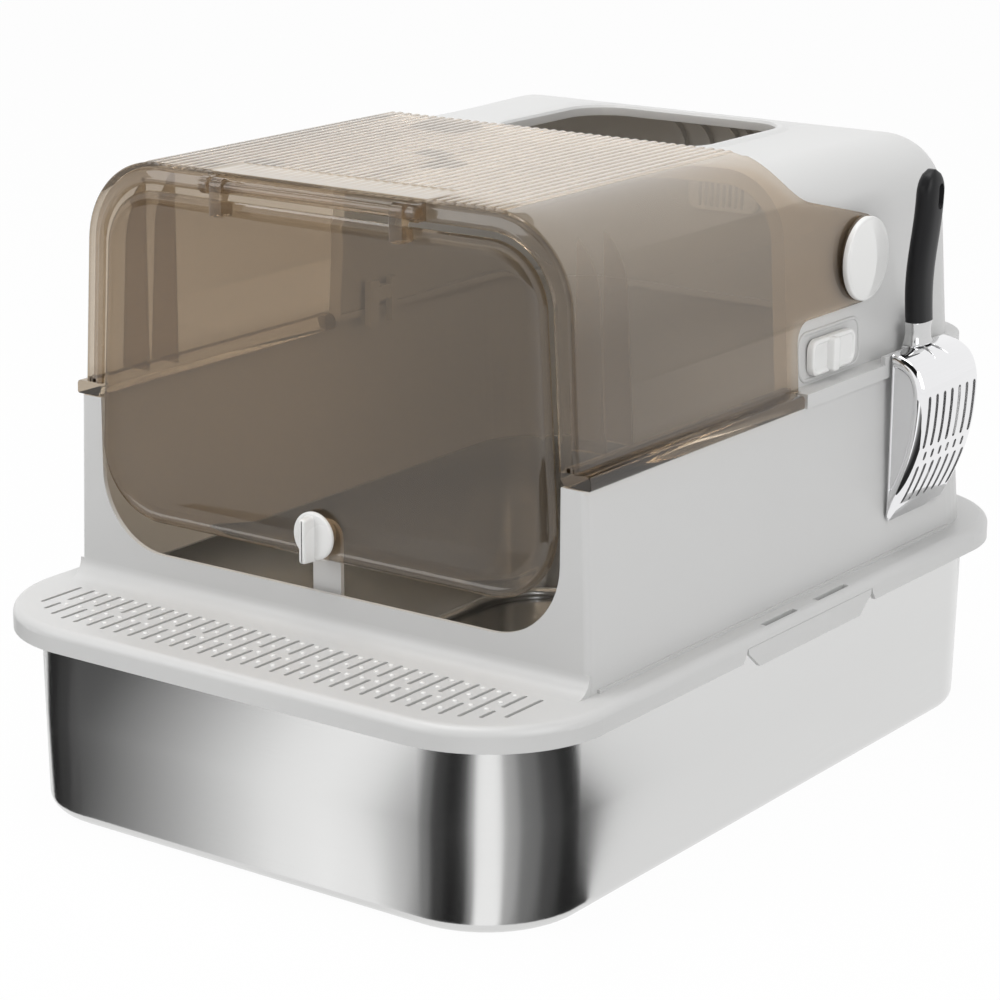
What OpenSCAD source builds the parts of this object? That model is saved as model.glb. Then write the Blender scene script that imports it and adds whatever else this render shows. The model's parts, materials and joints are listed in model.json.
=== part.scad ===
// Enclosed cat litter box: a stainless pan, a moulded frame with a slotted step, a grey rear hood,
// a see-through hood that flips back, a hanging door, and a scoop that hangs on the side.
// Origin: bottom centre of the pan. +X right, -Y front (the door side), +Z up. Millimetres.

/* [Pan] */
// Width of the pan across its walls, under the frame
pan_w = 389; // [360:1:420]
// Length of the pan across its walls, under the frame
pan_l = 569; // [540:1:600]
// Height of the pan to the top of its flange
pan_h = 127.8; // [110:0.1:145]
// Plan radius of the pan's corners
pan_corner = 67; // [50:1:80]
// Sheet thickness of the pan
pan_sheet = 1; // [0.8:0.1:2]
// How much each wall leans in on the way down
pan_draft = 2.3; // [0.5:0.1:5]
// Radius of the edge between the floor and the walls
pan_foot_r = 9; // [5:1:14]
// Width of the flat flange round the top
pan_flange = 8; // [5:0.5:10]

/* [Frame] */
// How far the frame's outer edge stands out from the pan's wall
rim_over = 15.5; // [13:0.5:20]
// Height of the frame's skirt
rim_skirt = 15; // [13:0.5:20]
// Wall of the frame's top plate, skirt and lower walls
frame_wall = 3; // [2.5:0.1:4]
// Radius of the skirt's top edge
rim_edge_r = 6; // [4:0.5:8]
// Step from the side skirt in to the foot of the side walls
side_step = 17.4; // [16:0.1:25]
// Depth of the front step that the cat walks over
front_step = 91; // [80:1:110]
// Step from the rear skirt in to the foot of the rear wall
rear_step = 24; // [20:1:40]
// Height of the lower walls above the step
wall_h = 118; // [100:1:140]
// How much the side walls lean in at the top
side_lean = 4.3; // [2:0.1:8]
// How much the rear wall leans in at the top
rear_lean = 11.7; // [6:0.1:16]
// Plan radius of the rear corners of the lower walls
wall_corner = 61; // [45:1:70]
// Height of the sill above the step
sill_h = 25; // [18:1:40]
// Step from the foot of the side walls in to the edge of the front doorway
doorway_border = 21; // [18:0.1:40]
// Radius of the doorway's lower corners
doorway_r = 47; // [30:1:60]

/* [Step grid] */
// Distance from one column of slots to the next
slot_pitch = 10.9; // [9:0.1:14]
// Width of a slot
slot_w = 2.6; // [2:0.1:4]
// Number of columns of slots
slot_columns = 33; // [25:2:33]
// Bare margin between the slots and the frame's front edge
slot_front_margin = 17.5; // [14:0.5:25]
// Bare margin between the slots and the front wall
slot_wall_margin = 19.5; // [15:0.5:30]
// Bridge in the middle of every other column
slot_bridge = 6.6; // [4:0.1:10]

/* [Ledge] */
// Height of the ledge that carries the hoods
ledge_h = 9; // [7:0.5:12]
// How far the ledge stands out from the lower walls
ledge_over = 3.2; // [2:0.1:5]
// Where the outer ledge starts, from the middle of the box towards the rear
ledge_start = 26.5; // [25:0.1:40]
// Length of the raised rail that holds the scoop
rail_l = 84; // [70:1:90]
// Height of the scoop rail above the ledge
rail_h = 5; // [4:0.5:8]

/* [Clear hood] */
// Height of the clear hood above the ledge
hood_h = 142.2; // [120:0.1:170]
// Step from the ledge's edge in to the foot of the clear hood
hood_inset = 8; // [7:0.1:12]
// How much each side of the clear hood leans in
hood_lean = 5; // [3:0.1:8]
// Radius of the clear hood's top corners
hood_r = 55; // [40:1:65]
// Wall of the clear hood
hood_wall = 3; // [2:0.1:4]
// Y of the rear edge of the clear hood's top
hood_top_rear = 32; // [28:1:40]
// Y of the upright rear edge of the clear hood's sides
hood_side_rear = 29.5; // [26:0.5:32]
// Width of the front frame beside the door at the top
frame_border = 13; // [10:0.5:20]
// Radius of the frame opening's top corners
frame_opening_r = 43; // [30:1:50]
// Height of the grooves' ridges on the hood's top
ridge_h = 0.8; // [0.4:0.1:1.5]
// Distance from one ridge to the next
ridge_pitch = 6.8; // [5:0.1:10]
// How far the ridges run down over the hood's top corners
ridge_reach = 15; // [0:1:16]
// Half width of the smooth strip at the front of the top
strip_half = 79; // [60:1:90]
// Depth of the smooth strip
strip_deep = 30; // [20:1:45]
// Distance from the front face to the first stiffening fin
fin_first = 30; // [20:1:40]
// Distance from the front face to the second stiffening fin
fin_second = 57; // [48:1:80]
// Depth of the stiffening fins inside the clear hood
fin_deep = 16; // [10:1:20]

/* [Hood pivot] */
// Y of the hood's pivot
pivot_y = 108; // [104:1:112]
// Height of the pivot above the ledge
pivot_h = 70; // [66:1:74]
// Diameter of the round side knobs
knob_d = 53; // [46:1:54]
// How far a side knob stands out
knob_out = 9; // [6:0.5:12]
// Thickness of a side knob's rim
knob_rim = 4; // [2:0.5:5]
// Clearance round the clear hood's arms in the rear hood's seat
seat_room = 20; // [18:1:24]
// Diameter of the pivot shaft
pivot_d = 14; // [10:0.5:18]

/* [Rear hood] */
// How far the rear hood's top lies under the clear hood's top
rear_drop = 10.2; // [9:0.1:15]
// Wall of the rear hood
rear_wall = 2.5; // [2:0.1:3.5]
// Radius of the rear hood's edges and corners
rear_r = 42; // [30:1:50]
// Y of the rear hood's front edge, under the clear hood
rear_front = 24; // [18:1:25]
// Step from the ledge's rear edge in to the foot of the rear hood's rear wall
rear_inset = 17.5; // [16:0.5:25]
// How much the rear hood's rear wall leans in
rear_tilt = 3; // [0:0.5:8]
// How deep the seat of the clear hood is let into the rear hood
seat_deep = 5.7; // [5.4:0.1:8]
// Half width of the top opening
top_half = 78; // [60:1:90]
// Y of the front edge of the top opening
top_front = 64; // [60:1:80]
// Y of the rear edge of the top opening
top_rear = 192; // [150:1:195]
// Radius of the top opening's corners
top_r = 28; // [15:1:40]
// Number of slots in the rear vent
vent_slots = 9; // [5:2:11]
// Distance from one vent slot to the next
vent_pitch = 6.4; // [5:0.1:8]
// Height of the rear vent
vent_h = 24; // [15:1:35]

/* [Door] */
// Gap between the door and the edge of its opening
door_gap = 4; // [3:0.1:6]
// Gap between the sill and the door's lower edge
door_sill_gap = 15; // [10:1:20]
// Thickness of the door
door_t = 3; // [2.5:0.1:4]
// Width of the raised lip round the door
door_lip = 5; // [3:0.5:10]
// Radius of the door's lower corners
door_low_r = 45; // [30:1:55]
// Diameter of the hinge rod
rod_d = 6.5; // [5:0.1:8]
// Length of the hinge rod
rod_l = 158; // [140:1:180]
// Distance from the middle to each hinge ear of the door
ear_x = 66; // [50:1:70]
// Running clearance round pins and shafts
running_gap = 0.06; // [0.02:0.01:0.1]
// Diameter of the round door knob
latch_d = 30; // [24:1:36]
// Height of the door knob's centre above the sill
latch_h = 36; // [32:1:45]

/* [Locks and clips] */
// Length of the slide lock's plate
lock_l = 61; // [50:1:62]
// Height of the slide lock's plate
lock_h = 25; // [22:1:30]
// Travel of the slide lock
lock_travel = 10; // [6:1:12]
// Y of the slide lock's front end
lock_y = 42; // [40:1:44]
// Width of the slide lock's thumb bar
thumb_w = 8.5; // [6:0.5:12]
// Length of the side clip along the skirt
clip_l = 149; // [120:1:170]
// Y of the middle of the side clip
clip_y = 8; // [-20:1:20]
// Height of the side clip
clip_h = 14.2; // [12:0.1:18]
// Length of each of the two slots above a side clip
flex_slot_l = 38; // [30:1:45]

/* [Scoop] */
// Width of the scoop's blade
scoop_w = 76; // [60:1:80]
// Gap between the rear end of the scoop's rail and the round rear corner
rail_end_gap = 1; // [0:0.5:4]
// Length of the scoop's blade
scoop_l = 110; // [90:1:115]
// Depth of the scoop's bowl
scoop_deep = 25; // [18:1:32]
// Sheet thickness of the scoop
scoop_sheet = 1.4; // [1:0.1:2.5]
// Length of the scoop's grip
grip_l = 98; // [80:1:120]
// Thickness of the scoop's grip
grip_t = 14; // [10:0.5:15]
// Width of the scoop's grip
grip_w = 24; // [18:1:26]

/* [Hidden] */
$fn = 64;
eps = 0.01;
// Gap between parts that only rest on each other
rest_gap = 0.2;

rx = pan_w / 2 + rim_over;
ry = pan_l / 2 + rim_over;
rim_corner = pan_corner + rim_over * 0.78;
rim_z = pan_h + rest_gap + frame_wall;
skirt_z = rim_z - rim_skirt;
wall_z = rim_z + wall_h;
wall_x = rx - side_step;
wall_top_x = wall_x - side_lean;
wall_front = -ry + front_step;
wall_rear = ry - rear_step;
wall_top_rear = wall_rear - rear_lean;
sill_z = rim_z + sill_h;
doorway_half = wall_x - doorway_border;

ledge_z = wall_z + ledge_h;
ledge_x = wall_top_x + ledge_over;
ledge_rear = wall_top_rear + ledge_over;
ledge_corner = wall_corner - 1.5;
hood_half = ledge_x - hood_inset;
hood_half_top = hood_half - hood_lean;
rear_y = ledge_rear - rear_inset;
scoop_y = ledge_rear - ledge_corner - rail_end_gap - rail_l / 2;

hood_z = ledge_z + hood_h;
hood_cz = hood_z - hood_r;
hood_cx = hood_half_top - hood_r;
ridge_half_count = floor((hood_cx + ridge_reach) / ridge_pitch);
// Lean of the clear hood's side, from its tangent to the top corner
lean_a = acos(hood_r / norm([hood_half - hood_cx, hood_cz - ledge_z]))
    - atan2(hood_cz - ledge_z, hood_half - hood_cx);
function hood_x(z) = hood_half - (z - ledge_z) * tan(lean_a);

pivot_z = ledge_z + pivot_h;
knob_seat_x = hood_x(pivot_z - knob_d / 2) + 0.2;
boss_face_x = hood_x(pivot_z + pivot_d) - hood_wall - 0.8;
pivot_boss_r = pivot_d / 2 + 5;
nut_l = 4;
rear_boss_inner = boss_face_x - rest_gap - 7;

rear_z = hood_z - rear_drop;
rear_cz = rear_z - rear_r;

frame_top_z = hood_z - frame_border;
frame_cz = frame_top_z - frame_opening_r;
frame_half = hood_x(frame_cz) - frame_border;
frame_cx = frame_half - frame_opening_r;

door_top_z = frame_top_z - door_gap;
door_low_z = sill_z + door_sill_gap;
door_r = frame_opening_r - door_gap;
door_cx = frame_cx;
door_half_low = doorway_half - door_gap + 2;
door_front = wall_front - 1;
rod_y = wall_front - rod_d / 2 - 4;
rod_z = frame_top_z + rod_d / 2 + 2.5;
ear_w = 9;
lug_w = 6;
latch_z = sill_z + latch_h;
latch_shaft_d = 9;

lock_z = ledge_z + 4.4;
lock_x = hood_x(lock_z + lock_h / 2) - seat_deep;
lock_t = 5.5;
stem_l = 14;
stem_h = 9;
stem_y = lock_y + 21;
stem_x = lock_x - rear_wall - 4.5;
stem_z = lock_z + 1.5;

clip_z = skirt_z - 6;
clip_top = clip_z + clip_h;

scoop_x = ledge_x + 1.2;
scoop_top = ledge_z + rail_h + rest_gap + scoop_sheet;
scoop_tip = scoop_top - scoop_l;
grip_x = ledge_x - 0.3;
grip_z = scoop_top + 15;
collar_half = 6;

// A 2-D rectangle with four equal round corners, given by its edges
module round_rect(x0, x1, y0, y1, r) {
    translate([x0 + r, y0]) square([x1 - x0 - 2 * r, y1 - y0]);
    translate([x0, y0 + r]) square([x1 - x0, y1 - y0 - 2 * r]);
    for (x = [x0 + r, x1 - r], y = [y0 + r, y1 - r]) translate([x, y]) circle(r);
}

// A 2-D plan with round rear corners and nearly square front corners
module wall_plan(x, front, rear, r, front_r) {
    translate([-x + r, front]) square([2 * (x - r), rear - front]);
    translate([-x, front + front_r]) square([2 * x, rear - r - front - front_r]);
    for (s = [-1, 1]) {
        translate([s * (x - r), rear - r]) circle(r);
        translate([s * (x - front_r), front + front_r]) circle(front_r);
        translate([s * (x - front_r) - front_r, front + front_r]) square([2 * front_r, front_r]);
    }
    translate([-x + front_r, front]) square([2 * (x - front_r), r]);
}

// A thin slab of a plan at one height, for hulls
module slab(z, t = 0.1) {
    translate([0, 0, z]) linear_extrude(t) children();
}

// Turns an X-Z drawing into a solid that runs along Y
module along_y(y0, y1) {
    translate([0, y1, 0]) rotate([90, 0, 0]) linear_extrude(y1 - y0) children();
}

// Turns a Y-Z drawing into a solid that runs along X
module along_x(x0, x1) {
    translate([x0, 0, 0]) rotate([90, 0, 90]) linear_extrude(x1 - x0) children();
}

// A straight round bar along X or Y, and the hole for one
module bar_x(x0, x1, y, z, r) {
    translate([x0, y, z]) rotate([0, 90, 0]) cylinder(h = x1 - x0, r = r);
}
module bar_y(y0, y1, x, z, r) {
    translate([x, y0, z]) rotate([-90, 0, 0]) cylinder(h = y1 - y0, r = r);
}

// A slot with round ends along the second axis
module slot_2d(x, y0, y1, w) {
    translate([x - w / 2, y0 + w / 2]) square([w, y1 - y0 - w]);
    translate([x, y0 + w / 2]) circle(w / 2);
    translate([x, y1 - w / 2]) circle(w / 2);
}

// The right and left copies of a piece that is drawn on the right
module both_sides() {
    children();
    mirror([1, 0, 0]) children();
}

// Pan
module pan_body(inset) {
    x = pan_w / 2 - inset;
    y = pan_l / 2 - inset;
    r = pan_corner - inset;
    hull() {
        slab(pan_h - 0.1) round_rect(-x, x, -y, y, r, $fn = 48);
        for (a = [0, 30, 60, 90]) {
            d = pan_draft + (pan_foot_r - inset / 2) * (1 - cos(a));
            slab(inset + (pan_foot_r - inset / 2) * (1 - sin(a)))
                round_rect(-x + d, x - d, -y + d, y - d, r - d, $fn = 48);
        }
    }
}
module steel_pan() color("silver") {
    fx = pan_w / 2 + pan_flange;
    fy = pan_l / 2 + pan_flange;
    difference() {
        union() {
            pan_body(0);
            translate([0, 0, pan_h - 2 * pan_sheet]) linear_extrude(2 * pan_sheet)
                round_rect(-fx, fx, -fy, fy, pan_corner + pan_flange);
        }
        translate([0, 0, eps]) pan_body(pan_sheet);
    }
}

// Frame: skirt section, drawn outward from the corner's centre
module skirt_section() {
    r = rim_corner;
    difference() {
        union() {
            translate([r - rim_edge_r - 4, rim_z - frame_wall]) square([4 + eps, frame_wall]);
            translate([r - frame_wall, skirt_z]) square([frame_wall, rim_skirt - rim_edge_r]);
            intersection() {
                translate([r - rim_edge_r, rim_z - rim_edge_r]) circle(rim_edge_r);
                translate([r - rim_edge_r, rim_z - rim_edge_r]) square(rim_edge_r + 1);
            }
        }
        translate([r - rim_edge_r, rim_z - rim_edge_r]) circle(rim_edge_r - frame_wall);
    }
}
module rim() {
    cx = rx - rim_corner;
    cy = ry - rim_corner;
    inset = rim_edge_r + 2;
    for (s = [-1, 1], t = [-1, 1])
        translate([s * cx, t * cy, 0])
            rotate([0, 0, s > 0 ? (t > 0 ? 0 : -90) : (t > 0 ? 90 : 180)])
                rotate_extrude(angle = 90) skirt_section();
    for (s = [-1, 1]) {
        translate([s * cx, 0, 0]) mirror([s < 0 ? 1 : 0, 0, 0])
            along_y(-cy, cy) skirt_section();
        translate([0, s * cy, 0]) rotate([0, 0, 90 * s])
            along_y(-cx, cx) skirt_section();
    }
    slab(rim_z - frame_wall, frame_wall)
        round_rect(-rx + inset, rx - inset, -ry + inset, ry - inset, rim_corner - inset);
}

// Slots of the step: every other column is split by a bridge
slot_y1 = wall_front - slot_wall_margin;
slot_edge_r = rim_corner - slot_front_margin;
function slot_y0(x) = abs(x) < rx - rim_corner
    ? -ry + slot_front_margin
    : -ry + rim_corner - sqrt(max(0, pow(slot_edge_r, 2) - pow(abs(x) - rx + rim_corner, 2)));
module step_slots() {
    half = (slot_columns - 1) / 2;
    mid = (slot_y1 - ry + slot_front_margin) / 2;
    for (i = [-half : half]) {
        x = i * slot_pitch;
        y0 = slot_y0(x);
        if (i % 2 == 0) {
            if (slot_y1 - y0 > 2 * slot_w) slot_2d(x, y0, slot_y1, slot_w);
        } else {
            if (mid - slot_bridge / 2 - y0 > 2 * slot_w) slot_2d(x, y0, mid - slot_bridge / 2, slot_w);
            slot_2d(x, mid + slot_bridge / 2, slot_y1, slot_w);
        }
    }
}

// The doorway in the front wall, open at the top
module doorway() {
    round_rect(-doorway_half, doorway_half, sill_z, ledge_z + doorway_r + 20, doorway_r);
}

module lower_walls(inset) {
    hull() {
        slab(rim_z - frame_wall) wall_plan(wall_x - inset, wall_front + inset,
            wall_rear - inset, wall_corner - inset, 4 - inset * 0.8, $fn = 48);
        slab(wall_z - 0.1) wall_plan(wall_top_x - inset, wall_front + inset,
            wall_top_rear - inset, wall_corner - inset, 4 - inset * 0.8, $fn = 48);
    }
}
module inner_plan() {
    wall_plan(wall_x - frame_wall, wall_front + frame_wall, wall_rear - frame_wall,
        wall_corner - frame_wall, 1);
}

// Concave fillet along the foot of the front wall
module front_foot(r = 12) {
    difference() {
        translate([-wall_x, wall_front - r, rim_z - eps]) cube([2 * wall_x, r + 1, r]);
        bar_x(-rx, rx, wall_front - r, rim_z + r, r);
    }
}

// Bead along the foot of the side walls
module side_bead() {
    both_sides()
        translate([wall_x - 1.5, wall_front + 8, rim_z - eps])
            cube([3, wall_rear - wall_front - wall_corner - 8, 2]);
}

// The ledge that carries the hoods, with a gap for the clear hood's flange at the front
module ledge() {
    in_x = hood_half - seat_deep - rear_wall - 2;
    in_rear = rear_y - rear_wall - 3;
    difference() {
        slab(wall_z, ledge_h)
            wall_plan(ledge_x, wall_front, ledge_rear, ledge_corner, 3);
        slab(wall_z - 1, ledge_h + 2)
            wall_plan(in_x, wall_front - 1, in_rear, rear_r, 1);
        slab(wall_z - 1, ledge_h - 4 + 1)
            wall_plan(wall_top_x - frame_wall, wall_front - 1, wall_top_rear - frame_wall,
                wall_corner - frame_wall, 1);
        translate([-rx, -ry, wall_z - 1]) cube([2 * rx, ry + ledge_start, ledge_h + 2]);
        translate([-hood_half - 1, -ry, wall_z - 1])
            cube([2 * hood_half + 2, ry + hood_side_rear + 1, ledge_h + 2]);
    }
    // band that joins the ledge to the wall below it
    difference() {
        slab(wall_z - 2, 4)
            wall_plan(wall_top_x, wall_front, wall_top_rear, wall_corner, 3);
        slab(wall_z - 3, 6)
            wall_plan(wall_top_x - frame_wall, wall_front - 1, wall_top_rear - frame_wall,
                wall_corner - frame_wall, 1);
        translate([-rx, -ry, wall_z - 3]) cube([2 * rx, ry + ledge_start, 6]);
    }
}

// Rail that the scoop hooks over, on the right of the ledge
rail_t = 3.4;
module scoop_rail() {
    translate([ledge_x - rail_t, scoop_y - rail_l / 2, ledge_z - 1]) cube([rail_t, rail_l, rail_h + 1]);
}

// Post behind the door that stops it from swinging inwards
post_w = 21;
post_front = wall_front + 7;
module latch_post() {
    top = latch_z + 7;
    along_y(post_front, post_front + frame_wall) {
        translate([-post_w / 2, rim_z - frame_wall]) square([post_w, top - rim_z + frame_wall - post_w / 2]);
        translate([0, top - post_w / 2]) circle(post_w / 2);
    }
    translate([-post_w / 2, wall_front + 1, rim_z - frame_wall]) cube([post_w, 8, sill_h - 2]);
}

// Cut in the skirt for a side clip, and the two flexing slots above it
module clip_cut() {
    y0 = clip_y - clip_l / 2;
    y1 = clip_y + clip_l / 2;
    top = clip_top + rest_gap;
    both_sides() {
        along_x(rx - frame_wall - 1, rx + 1)
            polygon([[y0 - 6, skirt_z - 1], [y0 - 1.5, top - 3], [y0 - 0.5, top], [y1 + 0.5, top],
                [y1 + 1.5, top - 3], [y1 + 6, skirt_z - 1]]);
        for (s = [-1, 1])
            translate([rx - rim_edge_r - 2.5, clip_y + 2.5 + s * 31 - flex_slot_l / 2, rim_z - frame_wall - 1])
                cube([4, flex_slot_l, frame_wall + 2]);
    }
}

module base_frame() color("gainsboro") {
    difference() {
        union() {
            rim();
            difference() {
                lower_walls(0);
                lower_walls(frame_wall);
                slab(rim_z - 2 * frame_wall, 2 * frame_wall) inner_plan();
                slab(wall_z - 0.2, 1) inner_plan();
            }
            front_foot();
            side_bead();
            ledge();
            scoop_rail();
        }
        slab(rim_z - frame_wall - 1, frame_wall + 2) inner_plan();
        along_y(wall_front - 20, wall_front + frame_wall + 1) doorway();
        slab(rim_z - frame_wall - 1, frame_wall + 2) step_slots();
        clip_cut();
    }
    latch_post();
}

// Side clip: a flexing tab with a short hook that faces the pan's flange
module side_clip() {
    y0 = clip_y - clip_l / 2;
    y1 = clip_y + clip_l / 2;
    along_x(rx - frame_wall + 0.5, rx)
        polygon([[y0, clip_top], [y0 + 0.5, clip_top - 3], [y0 + 14, clip_z], [y1 - 14, clip_z],
            [y1 - 0.5, clip_top - 3], [y1, clip_top]]);
    translate([pan_w / 2 + pan_flange + 0.5, clip_y - 20, clip_z])
        cube([rim_over - pan_flange - frame_wall + 1, 40, 3]);
}
module side_clip_right() color("gainsboro") side_clip();
module side_clip_left() color("gainsboro") mirror([1, 0, 0]) side_clip();

// Rear hood: a block with round edges, drawn in by x, y and z
module rear_block(dx, dy, dz, front, foot) {
    r = rear_r - max(dx, dy, dz) / 2;
    x0 = hood_half - dx;
    x1 = hood_x(rear_cz) - dx;
    y1 = rear_y - rear_tilt - dy;
    hull($fn = 32) {
        slab(foot) wall_plan(x0, front, rear_y - dy, r, 1, $fn = 32);
        for (s = [-1, 1]) {
            translate([s * (x1 - r), y1 - r, rear_z - dz - r]) sphere(r, $fn = 32);
            bar_y(front, front + 1, s * (x1 - r), rear_z - dz - r, r, $fn = 32);
        }
    }
}

// The seat of the clear hood's sides and arms, as a Y-Z drawing, with room for the hood to flip
arm_r = knob_d / 2 + 1.5;
module seat_profile(grow) {
    r = arm_r + seat_room + grow;
    start = rear_front - 30;
    translate([start, ledge_z - 5]) square([pivot_y + 11 + grow - start, pivot_z - ledge_z + 5]);
    translate([pivot_y, pivot_z]) circle(r);
    translate([start, pivot_z - 5]) square([pivot_y - start, r + 5]);
    translate([start, pivot_z]) square([hood_top_rear + 12 + grow - start, 100]);
}

module rear_shell() {
    difference() {
        union() {
            difference() {
                rear_block(0, 0, 0, rear_front, ledge_z);
                both_sides() along_x(rear_r, rx) seat_profile(0);
            }
            rear_block(seat_deep, seat_deep, 0, rear_front, ledge_z);
        }
        difference() {
            rear_block(rear_wall, rear_wall, rear_wall, rear_front - 1, ledge_z - 1);
            both_sides() along_x(rear_r, rx) seat_profile(rear_wall);
        }
        rear_block(seat_deep + rear_wall, seat_deep + rear_wall, rear_wall, rear_front - 1, ledge_z - 1);
    }
}

module top_opening(grow) {
    round_rect(-top_half - grow, top_half + grow, top_front - grow, top_rear + grow, top_r + grow);
}

module rear_hood() color("gainsboro") {
    collar = 9;
    difference() {
        union() {
            rear_shell();
            slab(rear_z - collar, collar - 0.3) top_opening(rear_wall);
            both_sides() bar_x(rear_boss_inner, boss_face_x - rest_gap, pivot_y, pivot_z, pivot_boss_r);
        }
        slab(rear_z - collar - 1, collar + 3) top_opening(0);
        along_y(rear_y - 30, rear_y + 5) vent();
        both_sides() {
            bar_x(rear_boss_inner - 1, rx, pivot_y, pivot_z, pivot_d / 2 + running_gap);
            translate([stem_x - 5, stem_y - 0.4, stem_z - 0.4])
                cube([20, stem_l + lock_travel + 0.8, stem_h + 0.8]);
        }
    }
}
module vent() {
    half = (vent_slots - 1) / 2;
    vent_z = pivot_z + 4;
    for (i = [-half : half]) slot_2d(i * vent_pitch, vent_z - vent_h / 2, vent_z + vent_h / 2, 3.2);
}

// Clear hood: its section across X, drawn in by a wall
module hood_section(inset) {
    r = hood_r - inset;
    x0 = hood_half - inset / cos(lean_a);
    tx = hood_cx + r * cos(lean_a);
    tz = hood_cz + r * sin(lean_a);
    polygon([[-x0, ledge_z], [x0, ledge_z], [tx, tz], [hood_cx, hood_cz + r], [-hood_cx, hood_cz + r],
        [-tx, tz]]);
    for (s = [-1, 1]) translate([s * hood_cx, hood_cz]) circle(r);
}

// Points of an arc, from one angle to another
function arc(cy, cz, r, a0, a1, n = 10) =
    [for (i = [0 : n]) let (a = a0 + (a1 - a0) * i / n) [cy + r * cos(a), cz + r * sin(a)]];

// Side view of the clear hood: an arm runs back to the pivot
module hood_side() {
    nook_r = 13;
    notch_r = 27;
    notch_y = hood_top_rear + 3 + notch_r;
    notch_z = pivot_z + arm_r + 13 + notch_r;
    arm_low = pivot_z - arm_r;
    tilt = 15;
    polygon(concat(
        [[wall_front, ledge_z - 1], [hood_side_rear, ledge_z - 1]],
        arc(hood_side_rear + nook_r, arm_low - nook_r, nook_r, 180, 90),
        [[pivot_y, arm_low], [pivot_y, pivot_z]],
        [[pivot_y + arm_r * sin(tilt), pivot_z + arm_r * cos(tilt)]],
        arc(notch_y, notch_z, notch_r, 270 - tilt, 175),
        [[hood_top_rear, hood_z + 5], [wall_front, hood_z + 5]]));
    translate([pivot_y, pivot_z]) circle(arm_r);
}

module frame_opening() {
    polygon([[-doorway_half, ledge_z - 20], [doorway_half, ledge_z - 20],
        [frame_half, frame_cz], [frame_cx, frame_top_z], [-frame_cx, frame_top_z],
        [-frame_half, frame_cz]]);
    for (s = [-1, 1]) translate([s * frame_cx, frame_cz]) circle(frame_opening_r);
}

// Section of the clear flange that rests on the side wall's top
flange_in = 171;
module flange_section() {
    z0 = wall_z + rest_gap;
    inner = ledge_z + 3;
    r = (inner - z0) / 2;
    translate([flange_in + r, z0 + r]) circle(r);
    translate([flange_in + r, z0]) square([hood_half + 1 - flange_in - r, inner - z0]);
    translate([hood_half, z0]) square([ledge_x - hood_half, ledge_z - z0 - 1]);
    translate([hood_half, z0]) square([ledge_x - hood_half - 3, ledge_z - z0]);
}

// Stretches of the flange along Y, and where each starts in X: it draws back from the rear hood
flange_parts = [
    [wall_front, rear_front - 0.3, flange_in],
    [rear_front - 1, ledge_start - 0.3, hood_half - seat_deep + 0.4]
];

module ridges() {
    back = hood_top_rear - 1;
    for (i = [-ridge_half_count : ridge_half_count]) {
        x = i * ridge_pitch;
        on_strip = abs(x) < strip_half;
        z = hood_z - 0.5 - max(0, hood_r - sqrt(max(0, pow(hood_r, 2) - pow(max(0, abs(x) - hood_cx), 2))));
        y0 = on_strip ? wall_front + strip_deep : wall_front;
        translate([x - ridge_pitch / 4, y0, z]) cube([ridge_pitch / 2, back - y0, ridge_h + 0.5]);
    }
}

module front_hood() color([0.45, 0.38, 0.3, 0.55]) {
    difference() {
        union() {
            intersection() {
                along_y(wall_front, pivot_y + arm_r + 1) difference() {
                    hood_section(0);
                    hood_section(hood_wall);
                }
                along_x(-rx, rx) hood_side();
            }
            along_y(wall_front, wall_front + hood_wall) difference() {
                hood_section(0);
                frame_opening();
            }
            ridges();
            both_sides() {
                for (part = flange_parts)
                    along_y(part[0], part[1]) intersection() {
                        flange_section();
                        translate([part[2], wall_z]) square([rx, 2 * ledge_h]);
                    }
                for (y = [wall_front + fin_first, wall_front + fin_second])
                    along_y(y, y + 2.5) intersection() {
                        hood_section(hood_wall - 0.2);
                        translate([hood_half_top - hood_wall - fin_deep, ledge_z + 3])
                            square([60, hood_h]);
                    }
                bar_x(boss_face_x, knob_seat_x - 0.3, pivot_y, pivot_z, pivot_boss_r);
                bar_x(hood_x(pivot_z) - 1, knob_seat_x - 0.3, pivot_y, pivot_z, arm_r - 1);
            }
            rod_lugs();
        }
        both_sides() bar_x(boss_face_x - 5, rx, pivot_y, pivot_z, pivot_d / 2 + running_gap);
        bar_x(-rod_l / 2, rod_l / 2, rod_y, rod_z, rod_d / 2 + 0.02);
    }
}
module rod_lugs() {
    lug_x = rod_l / 2 - lug_w;
    for (s = [-1, 1]) translate([s * (lug_x + lug_w / 2), 0, 0]) {
        bar_x(-lug_w / 2, lug_w / 2, rod_y, rod_z, rod_d / 2 + 2);
        translate([-lug_w / 2, rod_y, rod_z - 2]) cube([lug_w, wall_front - rod_y + 1, rod_d / 2 + 4]);
    }
}
module hinge_rod() color([0.4, 0.33, 0.26, 0.7]) {
    bar_x(-rod_l / 2 + rest_gap, rod_l / 2 - rest_gap, rod_y, rod_z, rod_d / 2);
}

// Door: a sheet with round corners, a raised edge and two ears round the rod
door_low_cz = door_low_z + door_low_r;
door_low_cx = door_half_low - door_low_r;
module door_outline(inset) {
    rt = door_r - inset;
    rb = door_low_r - inset;
    d = [door_cx - door_low_cx, frame_cz - door_low_cz];
    a = atan2(d[1], d[0]) - acos((rb - rt) / norm(d));
    right = concat(arc(door_low_cx, door_low_cz, rb, -90, a, 18), arc(door_cx, frame_cz, rt, a, 90, 18));
    polygon(concat(right, [for (i = [len(right) - 1 : -1 : 0]) [-right[i][0], right[i][1]]]));
}

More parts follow.
